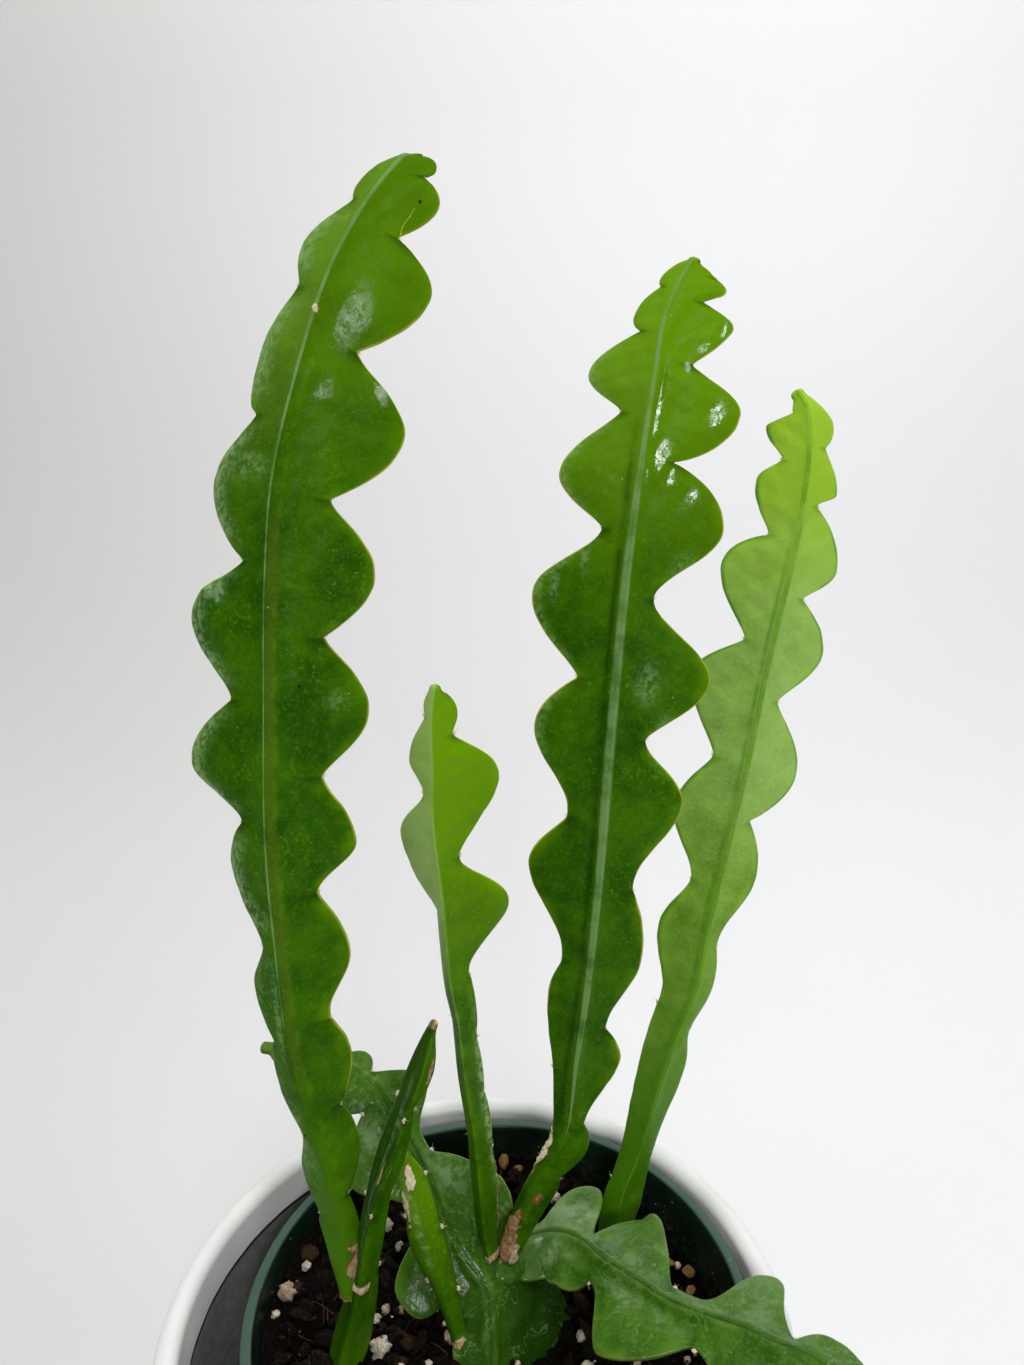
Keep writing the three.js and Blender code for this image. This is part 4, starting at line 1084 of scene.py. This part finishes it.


# Each kind of skin. Colours are as on a screen, 0 to 255. Foot_to and tip_from are shares of the stem's
# length, margin_to the margin line's width, water the strength of dried water marks, and grain the
# size of the sheen's breaks, in millimetres like the bumps' height. Shade is a painted shade, the sheen
# colour a greyish painted highlight, thin painted light shining through the thin tissue, and ridge the
# midrib line's own colour, on the paler skins partly a painted highlight.
LOOKS = {
    "mature": {"deep": (32, 78, 1), "light": (60, 108, 2), "fleck": (84, 128, 8), "thin": (98, 144, 6),
               "foot": (76, 124, 8), "foot_to": 0.24, "foot_share": 0.9,
               "tip": (108, 158, 4), "tip_from": 0.62, "haze": (134, 166, 74),
               "painted_sheen": (142, 178, 116), "shade": (20, 52, 1), "ridge": (126, 162, 100), "strip_share": 0.7,
               "margin": (172, 180, 56), "margin_share": 0.85, "margin_to": 0.85,
               "water": 0, "grain": 1.8, "rough": 0.38, "bumps": 0.18, "shine": 0.06},
    "young": {"deep": (46, 90, 2), "light": (78, 126, 3), "fleck": (100, 148, 10), "thin": (120, 164, 14),
              "foot": (46, 88, 4), "foot_to": 0.55, "foot_share": 0.7,
              "tip": (112, 162, 4), "tip_from": 0.4, "haze": (176, 200, 128),
              "painted_sheen": (150, 184, 110), "shade": (34, 72, 2), "ridge": (140, 180, 90), "strip_share": 0.5,
              "margin": (190, 196, 70), "margin_share": 0.7, "margin_to": 0.85,
              "water": 0, "grain": 1.8, "rough": 0.34, "bumps": 0.16, "shine": 0.08},
    "pale": {"deep": (106, 152, 32), "light": (144, 188, 68), "fleck": (166, 204, 112),
             "thin": (150, 194, 60), "foot": (70, 124, 10), "foot_to": 0.6, "foot_share": 1,
             "tip": (158, 202, 52), "tip_from": 0.6, "haze": (176, 206, 136),
             "painted_sheen": (200, 220, 170), "shade": (74, 140, 10), "ridge": (104, 160, 24), "strip_share": 0.8,
             "margin": (84, 150, 14), "margin_share": 0.95, "margin_to": 1.9,
             "water": 0, "grain": 1.8, "rough": 0.36, "bumps": 0.16, "shine": 0.1},
    # The old skin's foot colour is painted shade on its low part
    "old": {"deep": (38, 80, 6), "light": (66, 110, 18), "fleck": (88, 128, 36), "thin": (86, 124, 34),
            "foot": (34, 68, 6), "foot_to": 0.42, "foot_share": 0.8,
            "tip": (84, 124, 36), "tip_from": 0.6, "haze": (140, 164, 110),
            "painted_sheen": (158, 180, 132), "shade": (26, 56, 4), "ridge": (36, 70, 8), "strip_share": 0.7,
            "margin": (150, 160, 80), "margin_share": 0.4, "margin_to": 0.85,
            "water": 0.2, "grain": 6, "rough": 0.26, "bumps": 0.24, "shine": 0.4},
}
SKINS = {key: skin_material(SLOTS[key], look) for key, look in LOOKS.items()}


def glaze_material():
    s = Shader("white_glaze")
    inside = s.value("inside")
    depth = OUTER_POT["glaze_depth"]
    level = s.maths("ADD", s.value("depth"), s.times(s.maths("SUBTRACT", s.noise(14, 2), 0.5), 1.2))
    below = s.times(inside, s.ease(level, depth - 0.3, depth + 0.3))
    line = s.times(inside, s.ease(s.maths("ABSOLUTE", s.maths("SUBTRACT", level, depth)), 0.7, 0.3))
    white = s.mix(s.ease(s.noise(30, 2), 0.4, 0.6), tint(229, 230, 227), tint(231, 231, 229))
    grey = s.mix(s.ease(s.noise(3, 4, 0.7), 0.35, 0.65), tint(106, 109, 105), tint(122, 125, 121))
    colour = s.layered(white, [
        (s.ease(s.cells(9), 0.05, 0.03, 0, 0.5), tint(176, 168, 152)),
        (below, grey),
        (line, tint(22, 22, 22)),
    ])
    s.raise_by([(s.noise(22, 1), 0.12), (s.times(s.noise(0.8, 3), below), 0.15)])
    return s.finish(colour, s.ease(below, 0, 1, 0.16, 0.75), Specular_IOR_Level=0.5)


def plastic_material():
    s = Shader("nursery_plastic")
    depth = s.value("depth")
    dirt = s.times(s.ease(depth, 5, 14), s.ease(s.noise(2.5, 5, 0.7), 0.5, 0.62))
    dust = s.times(s.ease(s.cells(2.6), 0.13, 0.06), s.ease(s.noise(7, 1), 0.52, 0.58))
    colour = s.layered(tint(8, 26, 16), [
        (s.ease(s.noise(20, 2), 0.35, 0.65), tint(11, 33, 21)),
        (s.ease(depth, 0.4, 0.1), tint(58, 84, 70)),
        (dirt, tint(52, 38, 26)),
        (s.times(dust, 0.7), tint(196, 200, 188)),
    ])
    s.raise_by([(s.noise(0.5, 2), 0.03), (dirt, 0.2)])
    rough = s.ease(s.noise(5, 3), 0.4, 0.6, 0.32, 0.5)
    return s.finish(colour, rough, Specular_IOR_Level=0.5, Subsurface_Weight=0.05, Subsurface_Scale=MM)


def soil_material(name, dark, mid, light, wet=0.0):
    s = Shader(name)
    tone = s.value("tone")
    colour = s.layered(dark, [
        (s.ease(s.noise(1.3, 5, 0.7), 0.38, 0.7), mid),
        (s.ease(s.noise(0.8, 4, 0.7), 0.58, 0.74, 0, 0.55), light),
        (s.ease(tone, 0.8, 1.7, 0, 0.8), light),
        (s.ease(tone, 0.6, 0.1, 0, 0.85), dark),
    ])
    s.raise_by([(s.noise(1.6, 4, 0.7), 0.9), (s.noise(0.4, 3, 0.7), 0.3)])
    rough = s.ease(s.noise(3, 2), 0.4, 0.7, 0.9 - wet, 0.6 - wet / 2)
    return s.finish(colour, rough, Specular_IOR_Level=0.2)


def perlite_material():
    s = Shader("perlite")
    colour = s.layered(tint(158, 146, 124), [
        (s.ease(s.noise(1.1, 4, 0.6), 0.3, 0.7), tint(214, 208, 190)),
        (s.times(s.ease(s.cells(0.7), 0.28, 0.1), 0.6), tint(120, 104, 80)),
        (s.ease(s.value("tone"), 0.6, 0.2, 0, 0.6), tint(150, 120, 80)),
    ])
    s.raise_by([(s.cells(0.7), 0.25), (s.noise(0.35, 2), 0.08)])
    return s.finish(colour, 0.85, Subsurface_Weight=0.15, Subsurface_Scale=MM)


def wool_material():
    s = Shader("areole_wool")
    colour = s.layered(tint(196, 172, 130), [
        (s.ease(s.noise(0.4, 3), 0.35, 0.65), tint(240, 228, 202)),
        (s.ease(s.value("tone"), 0.4, 0, 0, 0.8), tint(120, 82, 46)),
    ])
    s.raise_by([(s.noise(0.2, 3), 0.08)])
    return s.finish(colour, 0.9)


def fibre_material(name, dark, light):
    s = Shader(name)
    s.raise_by([(s.noise(0.3, 2), 0.05)])
    return s.finish(s.mix(s.ease(s.noise(0.8, 3), 0.4, 0.6), dark, light), 0.6, Specular_IOR_Level=0.2)


# Pots

def turned(profile, segments, centre=(0, 0)):
    """Points and faces of a solid of revolution. The profile runs from the axis under the floor, up
    the outside, over the rim and down to the axis inside."""
    profile = np.array(profile, float)
    turn = np.arange(segments) * 2 * math.pi / segments
    ring = np.stack([np.cos(turn), np.sin(turn)], -1)
    body = profile[1:-1]
    flat = body[:, None, :1] * ring + np.array(centre)
    level = np.broadcast_to(body[:, None, 1:], (len(body), segments, 1))
    points = np.concatenate([flat, level], -1).reshape(-1, 3)
    hubs = [(*centre, profile[0][1]), (*centre, profile[-1][1])]
    return np.vstack([points, hubs]), capped(len(body), segments)


def line_between(start, end, steps):
    start, end = np.array(start), np.array(end)
    return [tuple(start + (end - start) * k / steps) for k in range(1, steps + 1)]


def arc(centre, radius, start, end, steps):
    turns = np.radians(np.linspace(start, end, steps + 1))
    return [(centre[0] + radius * math.cos(a), centre[1] + radius * math.sin(a)) for a in turns]


def add_outer_pot():
    pot = OUTER_POT
    bottom, foot, rim = -pot["height"], pot["base_radius"], pot["rim_radius"]
    chamfer, lip = pot["foot_chamfer"], pot["lip_radius"]
    floor_radius = foot - pot["wall"]
    floor = bottom + pot["floor"]
    recess = bottom + pot["foot_recess"]
    profile = [(0, recess), (foot - pot["foot_width"] - 1, recess), (foot - pot["foot_width"], bottom)]
    profile += [(foot - chamfer - 0.5, bottom)]
    profile += arc((foot - chamfer, bottom + chamfer), chamfer, -80, -6, 6)
    profile += line_between(profile[-1], (rim - 0.3, -4 * lip), 24)
    profile += line_between(profile[-1], (rim, -lip), 5)[:-1]
    profile += arc((rim - lip, -lip), lip, 0, 180, 22)
    profile += line_between(profile[-1], (floor_radius + 1, floor + 7), 40)
    profile += arc((floor_radius - 6, floor + 6.5), 6.5, 0, -86, 8)
    profile += [(0, floor)]
    points, faces = turned(profile, pot["segments"])
    height = points[:, 2]
    radius = np.hypot(points[:, 0], points[:, 1])
    wall_out = np.interp(height, [bottom, -lip], [foot, rim])
    inner = (radius < wall_out - lip) & (height > floor - 1)
    wobble = waves(points, 70, 5) * pot["unevenness"]
    points[:, 0] += wobble * points[:, 0] / np.maximum(radius, 1)
    points[:, 1] += wobble * points[:, 1] / np.maximum(radius, 1)
    values = {"inside": inner.astype(float), "depth": -height}
    add_piece("outer_pot_glazed", points, faces, glaze_material(), "white_glaze", ["outer_pot"], values)


def nursery_bottom():
    return -OUTER_POT["height"] + OUTER_POT["floor"] + NURSERY_POT["clearance"]


def nursery_inside(height):
    """The inner radius at a height, narrowing in a curve to the floor."""
    pot = NURSERY_POT
    bottom = nursery_bottom()
    share = (height - bottom) / (pot["rim_top"] - bottom)
    straight = pot["base_radius"] + (pot["rim_radius"] - pot["lip_width"] - pot["base_radius"]) * share
    return straight - pot["wall"] * (1 - share) ** 4


def nursery_profile():
    pot = NURSERY_POT
    bottom, top, foot, rim = nursery_bottom(), pot["rim_top"], pot["base_radius"], pot["rim_radius"]
    under = top - pot["rim_depth"]
    floor = bottom + pot["wall"]
    lip = rim - pot["lip_width"] + 1.2
    profile = [(0, bottom), (foot - 1, bottom), (foot + 0.3, bottom + 1)]
    profile += line_between(profile[-1], (nursery_inside(under) + pot["wall"], under), 30)
    profile += [(rim - 1.2, under), (rim - 0.7, under + 0.5)]
    profile += line_between(profile[-1], (rim, top - 1), 6)
    profile += arc((rim - 0.9, top - 0.9), 0.9, 10, 90, 4)
    profile += line_between(profile[-1], (lip, top), 3)
    profile += arc((lip, top - 1.2), 1.2, 100, 172, 4)
    profile += [(nursery_inside(height), height) for height in np.linspace(top - 2, floor, 44)]
    return profile + [(pot["hole_circle"] + pot["hole_radius"] + 4, floor), (0, floor)]


def add_nursery_pot():
    pot = NURSERY_POT
    x, y = pot["centre"]
    points, faces = turned(nursery_profile(), pot["segments"], pot["centre"])
    radius = np.hypot(points[:, 0] - x, points[:, 1] - y)
    soft = waves(points, 60, 11) * pot["unevenness"] * smooth(points[:, 2], -90, -10)
    shift = (points[:, :2] - np.array(pot["centre"])) / np.maximum(radius, 1)[:, None]
    points[:, :2] += shift * soft[:, None]
    values = {"depth": pot["rim_top"] - points[:, 2]}
    plastic = plastic_material()
    piece = add_piece("nursery_pot_shell", points, faces, plastic, "nursery_plastic", ["nursery_pot"], values)
    cutter = Heap()
    for turn in np.arange(pot["holes"]) * 2 * math.pi / pot["holes"]:
        hole = (x + pot["hole_circle"] * math.cos(turn), y + pot["hole_circle"] * math.sin(turn))
        path = [(*hole, nursery_bottom() - 4), (*hole, nursery_bottom() + 8)]
        cutter.add(*tube(path, [pot["hole_radius"]] * 2, 32))
    cut_out(piece, cutter.build("drain_holes", plastic, "nursery_plastic"))


def cut_out(piece, tool):
    """Takes the tool's form out of a piece for good, and the tool with it."""
    cut = piece.modifiers.new("cut", "BOOLEAN")
    cut.operation = "DIFFERENCE"
    cut.object = tool
    bpy.context.view_layer.update()
    done = piece.evaluated_get(bpy.context.evaluated_depsgraph_get())
    mesh = bpy.data.meshes.new_from_object(done)
    piece.modifiers.clear()
    piece.data = mesh
    bpy.data.objects.remove(tool)


# Soil

def soil_height(x, y):
    uneven = np.sin(x * 0.19 + 1) * np.cos(y * 0.23) + 0.5 * np.sin(x * 0.41 - y * 0.37)
    return SOIL["height"] + SOIL["slope_x"] * x + SOIL["slope_y"] * y + SOIL["bumps"] * uneven


def soil_top(x, y):
    """Height of the crumbly surface."""
    spot = np.stack([x, y], -1)
    lumps = 1.6 * np.abs(waves(spot, 9, 21)) + 1.2 * np.abs(waves(spot, 4.2, 22)) + 0.5 * waves(spot, 1.9, 23)
    hollow = 4 * np.exp(-((x - HOLLOW[0]) ** 2 + (y - HOLLOW[1]) ** 2) / HOLLOW[2] ** 2)
    return soil_height(x, y) + lumps - 1.4 - hollow


def add_soil():
    cx, cy = NURSERY_POT["centre"]
    segments, rings, clear = SOIL["segments"], SOIL["rings"], SOIL["clearance"]
    turn = np.arange(segments) * 2 * math.pi / segments
    guess = soil_height(cx + 66 * np.cos(turn), cy + 66 * np.sin(turn))
    edge = nursery_inside(guess) - clear
    radius = edge * (np.linspace(1, 0.004, rings) ** 0.8)[:, None]
    x, y = cx + radius * np.cos(turn), cy + radius * np.sin(turn)
    top = np.stack([x, y, soil_top(x, y)], -1)
    floor = nursery_bottom() + NURSERY_POT["wall"] + clear
    walls = []
    for share in (0, 0.25, 0.5, 0.75, 0.97):
        height = floor + (top[0, :, 2] - floor) * share
        around = np.minimum(nursery_inside(height) - clear - 0.1, edge)
        walls.append(np.stack([cx + around * np.cos(turn), cy + around * np.sin(turn), height], -1))
    grid = np.concatenate([np.array(walls), top])
    hubs = [(cx, cy, floor), (cx, cy, float(soil_top(np.array(cx), np.array(cy))))]
    points = np.vstack([grid.reshape(-1, 3), *hubs])
    material = soil_material("potting_soil", tint(8, 6, 4), tint(24, 16, 10), tint(60, 42, 28))
    tones = {"tone": np.full(len(points), 0.4)}
    add_piece("soil_mix", points, capped(len(grid), segments), material, "potting_soil", ["soil"], tones)


def drawer(seed):
    """Repeatable draws between 0 and 1, the same as in the solids."""
    state = [seed]

    def draw():
        state[0] = (state[0] * 1664525 + 1013904223) % 4294967296
        return state[0] / 4294967296

    return draw


def turned_by(points, x, y, z):
    """Points turned about the three axes, first x, then y, then z."""
    cx, sx, cy, sy, cz, sz = math.cos(x), math.sin(x), math.cos(y), math.sin(y), math.cos(z), math.sin(z)
    about_x = np.array([[1, 0, 0], [0, cx, -sx], [0, sx, cx]])
    about_y = np.array([[cy, 0, sy], [0, 1, 0], [-sy, 0, cy]])
    about_z = np.array([[cz, -sz, 0], [sz, cz, 0], [0, 0, 1]])
    return points @ (about_z @ about_y @ about_x).T


def stone(size, seed, rows, columns, rough, cuts=0):
    """An irregular lump. Cuts are the broken flat faces of a chip of bark."""
    points, faces = ball(rows, columns)
    draw = np.random.default_rng(seed)
    for _ in range(cuts):
        facing = unit(draw.normal(size=3))
        past = points @ facing - draw.uniform(0.45, 0.8)
        points = points - np.maximum(past, 0)[:, None] * facing
    grown = 1 + rough * waves(points * 3, 2.6, seed) + 0.4 * rough * waves(points * 3, 1.1, seed + 1)
    return points * grown[:, None] * np.array(size), faces


def within(x, y, spot):
    return math.hypot(x - spot[0], y - spot[1]) < spot[2]


class Bits:
    """Chips, grains, crumbs and threads on the soil, all laid by one run of draws."""

    def __init__(self):
        self.draw = drawer(BITS_SEED)
        self.bark, self.grains, self.crumbs, self.threads = Heap(), Heap(), Heap(), Heap()

    def spot(self, reach):
        radius = reach * math.sqrt(self.draw())
        turn = 2 * math.pi * self.draw()
        x, y = NURSERY_POT["centre"]
        return x + radius * math.cos(turn), y + radius * math.sin(turn)

    def spots(self, kind):
        """A spot for each bit of a kind, and the seed of its form. All but the solid ones keep clear of
        the stems' feet and the hollow."""
        count, reach, forms, seed = BITS[kind].values()
        for number in range(count):
            x, y = self.spot(reach)
            while kind != "solid" and any(within(x, y, place) for place in [*FEET, HOLLOW]):
                x, y = self.spot(reach)
            yield x, y, seed + number % forms

    def lying(self, tilt, spin):
        """Turns about the three axes, for a bit that lies nearly flat."""
        return [2 * tilt * self.draw() - tilt, 2 * tilt * self.draw() - tilt, spin * self.draw()]

    def tumbled(self):
        return [6 * self.draw() for _ in range(3)]

    def lay(self, heap, shape, x, y, lift, turns, tone):
        points, faces = shape
        heap.add(turned_by(points, *turns) + (x, y, float(soil_height(x, y)) + lift), faces, tone)

    def lay_solids(self):
        """The chips and grains that the solids have."""
        for x, y, seed in self.spots("solid"):
            is_bark = self.draw() < 0.6
            size = 3.5 + 4 * self.draw() if is_bark else 1.8 + 1.4 * self.draw()
            turns = self.lying(0.25, 2 * math.pi)
            if within(x, y, HOLLOW):
                continue
            if is_bark:
                shape = stone((size, size * 0.64, size * 0.42), seed, 14, 20, 0.12, 10)
                self.lay(self.bark, shape, x, y, -0.05 * size, turns, 0.5 * self.draw())
            else:
                shape = stone([size * 0.7] * 3, seed, 9, 14, 0.3)
                self.lay(self.grains, shape, x, y, 0.25 * size, turns, 0.35)

    def lay_bark(self):
        draw = self.draw
        for x, y, seed in self.spots("bark"):
            size = 1.6 + 4.4 * draw() ** 2
            axes = (size, size * (0.4 + 0.3 * draw()), size * (0.25 + 0.3 * draw()))
            turns = self.lying(0.9, 6.3)
            shape = stone(axes, seed, 9, 13, 0.14, 9)
            self.lay(self.bark, shape, x, y, 0.5 + 1.4 * draw(), turns, draw())
        for number, (x, y, size) in enumerate(BIG_CHIPS):
            shape = stone((size, size * 0.7, size * 0.5), 1900 + number, 12, 16, 0.14, 6)
            self.lay(self.bark, shape, x, y, 2.2, [0.5, 0.4, number], 1.7)

    def lay_crumbs(self):
        draw = self.draw
        for x, y, seed in self.spots("crumb"):
            size = 0.45 + 0.9 * draw() ** 2
            shape = stone((size, size * 0.8, size * 0.7), seed, 5, 7, 0.2, 5)
            self.lay(self.crumbs, shape, x, y, 0.4 + 1.3 * draw(), self.tumbled(), draw())

    def lay_grains(self):
        draw = self.draw
        for number, (x, y, size) in enumerate(BIG_GRAINS):
            tone = 0.55 if number else 0.2
            shape = stone([size] * 3, 2000 + number, 12, 18, 0.28)
            self.lay(self.grains, shape, x, y, 0.4 * size + 0.5, [0.5, 1, number], tone)
        for x, y, seed in self.spots("grain"):
            shape = stone([0.4 + 1.1 * draw() ** 2.5] * 3, seed, 7, 10, 0.3)
            self.lay(self.grains, shape, x, y, 0.5 + draw(), self.tumbled(), 0.15 + 0.6 * draw())

    def lay_threads(self):
        draw = self.draw
        steps = np.linspace(-0.5, 0.5, 12)
        for x, y, _ in self.spots("thread"):
            turn, length = 6.3 * draw(), 4 + 9 * draw()
            bow, rise = 2 * draw() - 1, 1.2 * draw()
            ahead, aside = length * steps, length * 0.4 * bow * steps ** 2
            path_x = x + ahead * math.cos(turn) - aside * math.sin(turn)
            path_y = y + ahead * math.sin(turn) + aside * math.cos(turn)
            level = soil_height(path_x, path_y) + 1.1 + rise * np.cos(steps * math.pi)
            path = np.stack([path_x, path_y, level], -1)
            self.threads.add(*tube(path, 0.16 * (1.15 - np.abs(steps)), 5), draw())


def add_soil_bits():
    bits = Bits()
    bits.lay_solids()
    bits.lay_bark()
    bits.lay_crumbs()
    bits.lay_grains()
    bits.lay_threads()
    bark = soil_material("bark", tint(9, 6, 4), tint(40, 26, 17), tint(160, 126, 76), 0.2)
    crumb = soil_material("crumbs", tint(12, 8, 6), tint(36, 24, 16), tint(96, 68, 42))
    thread = soil_material("fibre", tint(70, 44, 26), tint(110, 76, 46), tint(160, 120, 78))
    bits.bark.build("bark_chips", bark, "potting_soil")
    bits.grains.build("perlite_grains", perlite_material(), "potting_soil")
    bits.crumbs.build("soil_crumbs", crumb, "potting_soil")
    bits.threads.build("soil_fibres", thread, "potting_soil")


# The knuckle and the areoles

def add_knuckle():
    points, faces = ball(28, 44)
    grown = 1 + 0.05 * waves(points * 6, 7, 61) + 0.02 * waves(points * 6, 2.4, 62)
    points = points * grown[:, None] * KNUCKLE["radii"] + KNUCKLE["centre"]
    zeros = np.zeros(len(points))
    values = {"along": zeros + 0.5, "edge": zeros + 10, "side": zeros + HIDDEN, "brown": zeros + 0.6}
    values["cork"] = smooth(waves(points, 7, 63) + 0.5 * waves(points, 2, 64), 0.25, 0.6)
    add_piece("knuckle", points, faces, SKINS["old"], SLOTS["old"], ["stem_centre_broad"], values)


def areole_at(stem, spine, wing, station, reach):
    """An areole's place, and the directions out, along and across its wing."""
    at = np.array([float(station)])
    frames = spine.frames(at, stem["facing"])
    angle = table_at(wing["angle"], at)
    out, normal, along = direction(frames, angle)[0], direction(frames, angle + 90)[0], frames[1][0]
    roll, sweep = (float(table_at(wing[key], at)[0]) for key in ("roll", "sweep"))
    return frames[0][0] + out * reach + normal * roll * reach + along * sweep * reach, out, along, normal


def add_tufts(name, number, wool):
    """A woolly pad with a few curled bristles at every areole of a stem."""
    stem = STEMS[name]
    spine = Spine(stem["spine"], stem["root"])
    draw = np.random.default_rng(9000 + number)
    heap = Heap()
    pad, pad_faces = ball(7, 10)
    curled = stem["tuft"] > 0.8
    areoles = [(wing, *row) for wing in stem["wings"] for row in wing["edge"][2:-1:2]]
    for wing, station, reach in areoles:
        if station > spine.length - 1:
            continue
        foot, out, along, normal = areole_at(stem, spine, wing, station, reach)
        size = stem["tuft"] * draw.uniform(0.8, 1.2)
        axes = np.stack([out * 0.5, along * 0.75, normal * 0.6]) * size
        lump = pad * (1 + 0.2 * waves(pad * 3, 1.6, number + int(station)))[:, None]
        heap.add(lump @ axes * (0.7 if curled else 1) + foot, pad_faces, 0.8)
        if curled:
            turn = np.linspace(-1.1, 1.1, 9)[:, None]
            curl = foot + (along * np.sin(turn) + out * (np.cos(turn) - 0.6)) * 0.8 * size + out * 0.2
            heap.add(*tube(curl, 0.3 * size ** 0.5 * np.cos(turn[:, 0] * 0.9), 7), 1)
        for _ in range(int(draw.integers(3, 6))):
            lean = unit(out * 1.2 + along * draw.uniform(-0.2, 1) + normal * draw.uniform(-0.9, 0.9))
            hook = unit(along * draw.uniform(-1, 1) + normal * draw.uniform(-1, 1))
            steps = np.linspace(0, 1, 7)[:, None]
            length = size * draw.uniform(0.9, 2.1)
            path = foot + lean * length * steps + hook * length * 0.45 * steps ** 2
            heap.add(*tube(path, 0.085 * size ** 0.5 * (1.1 - steps[:, 0]), 5), draw.uniform(0, 1))
    heap.build(name.replace("stem", "areoles"), wool, SLOTS[stem["skin"]])


# The plant in its pots

add_outer_pot()
add_nursery_pot()
add_soil()
add_soil_bits()
add_knuckle()
wool = wool_material()
creases, dots = Heap(), Heap()
for number, name in enumerate(STEMS, start=1):
    add_stem(name, number, creases, dots)
    add_tufts(name, number, wool)
creases.build("skin_creases", fibre_material("crease", tint(150, 176, 20), tint(186, 196, 60)), "mature_stem")
dots.build("skin_dots", fibre_material("dot", tint(26, 28, 8), tint(44, 40, 16)), "mature_stem")


# Stage, lights and camera

def add_sweep():
    """A pale floor that turns up into a wall behind the plant, painted darker towards the left and low down
    as painted light falloff.
    """
    near, far, height, bend = -2.4, 1.6, 3.2, 0.8
    profile = [(near, 0), (far - bend, 0)]
    profile += [(far - bend + bend * math.sin(a), bend - bend * math.cos(a))
                for a in np.radians(np.linspace(0, 90, 25))]
    profile += [(far, height)]
    half = 3.2
    points = [(x, y, z) for y, z in profile for x in (-half, half)]
    faces = [(2 * i, 2 * i + 1, 2 * i + 3, 2 * i + 2) for i in range(len(profile) - 1)]
    mesh = bpy.data.meshes.new("backdrop")
    mesh.from_pydata(points, [], faces)
    mesh.shade_smooth()
    s = Shader("backdrop")
    apart = s.node("ShaderNodeSeparateXYZ")
    s.feed(apart.inputs[0], s.place)
    # Painted light falloff: darker to the left and lower down
    slant = s.maths("DIVIDE", apart.outputs["X"], s.maths("ADD", apart.outputs["Y"], 0.6))
    low = s.mix(s.ease(slant, -0.42, 0.3), tint(213, 213, 211), tint(234, 234, 235))
    high = s.mix(s.ease(slant, -0.42, 0.3), tint(227, 227, 225), tint(253, 253, 254))
    colour = s.mix(s.ease(apart.outputs["Z"], 0, 0.75), low, high)
    mesh.materials.append(s.finish(colour, 0.9, Specular_IOR_Level=0.1))
    sweep = bpy.data.objects.new("backdrop", mesh)
    bpy.context.scene.collection.objects.link(sweep)
    sweep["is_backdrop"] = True


def add_light(name, place, aim, size, power, mirrored):
    light = bpy.data.lights.new(name, "AREA")
    light.shape = "RECTANGLE"
    light.size, light.size_y = size
    light.energy = power
    lamp = bpy.data.objects.new(name, light)
    lamp.location = place
    lamp.rotation_euler = (Vector(aim) - Vector(place)).to_track_quat("-Z", "Y").to_euler()
    lamp.visible_glossy = mirrored
    bpy.context.scene.collection.objects.link(lamp)


# Lamps, as place, aim, size, power and whether glossy skin mirrors them
LAMPS = {
    "top": ((0, 0, 1.9), (0, 0.05, 0.3), (1.8, 1.4), 20, False),
    "left": ((-1.5, -0.8, 1.1), (0, 0.05, 0.35), (1.0, 1.2), 4, False),
    "side": ((-1.3, 0.55, 0.6), (-0.05, 0.05, 0.35), (0.5, 1.0), 1.2, True),
    "right": ((1.6, -0.7, 1.3), (0.05, 0.05, 0.35), (0.9, 1.2), 8, False),
    "window": (WINDOW["place"], WINDOW["aim"], WINDOW["size"], WINDOW["power"], True),
    "wall": ((0.3, 0.5, 2.2), (0.3, 1.6, 0.8), (2.8, 0.6), 18.3, False),
}


def add_world():
    """Pale where the camera looks past the stage, and dim as a room for what falls on the plant."""
    world = bpy.data.worlds.new("surroundings")
    world.use_nodes = True
    tree = world.node_tree
    room = tree.nodes["Background"]
    room.inputs["Color"].default_value = (0.9, 0.95, 1, 1)
    room.inputs["Strength"].default_value = 0.06
    pale = tree.nodes.new("ShaderNodeBackground")
    pale.inputs["Color"].default_value = (0.88, 0.88, 0.89, 1)
    path = tree.nodes.new("ShaderNodeLightPath")
    both = tree.nodes.new("ShaderNodeMixShader")
    tree.links.new(path.outputs["Is Camera Ray"], both.inputs[0])
    tree.links.new(room.outputs[0], both.inputs[1])
    tree.links.new(pale.outputs[0], both.inputs[2])
    tree.links.new(both.outputs[0], tree.nodes["World Output"].inputs["Surface"])
    bpy.context.scene.world = world


def add_camera():
    lens = bpy.data.cameras.new("camera")
    lens.sensor_fit = "VERTICAL"
    lens.sensor_height = CAMERA["sensor"]
    lens.lens = CAMERA["lens"]
    lens.clip_start = 0.01
    viewer = bpy.data.objects.new("camera", lens)
    viewer.location = CAMERA["place"]
    viewer.rotation_euler = (math.radians(CAMERA["tilt"]), 0, 0)
    bpy.context.scene.collection.objects.link(viewer)
    bpy.context.scene.camera = viewer


add_sweep()
for name, lamp in LAMPS.items():
    add_light(name, *lamp)
add_world()
add_camera()
bpy.context.scene.view_settings.view_transform = "Standard"

plain = [[[float(number) for number in corner] for corner in box] for box in (solid_box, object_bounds())]
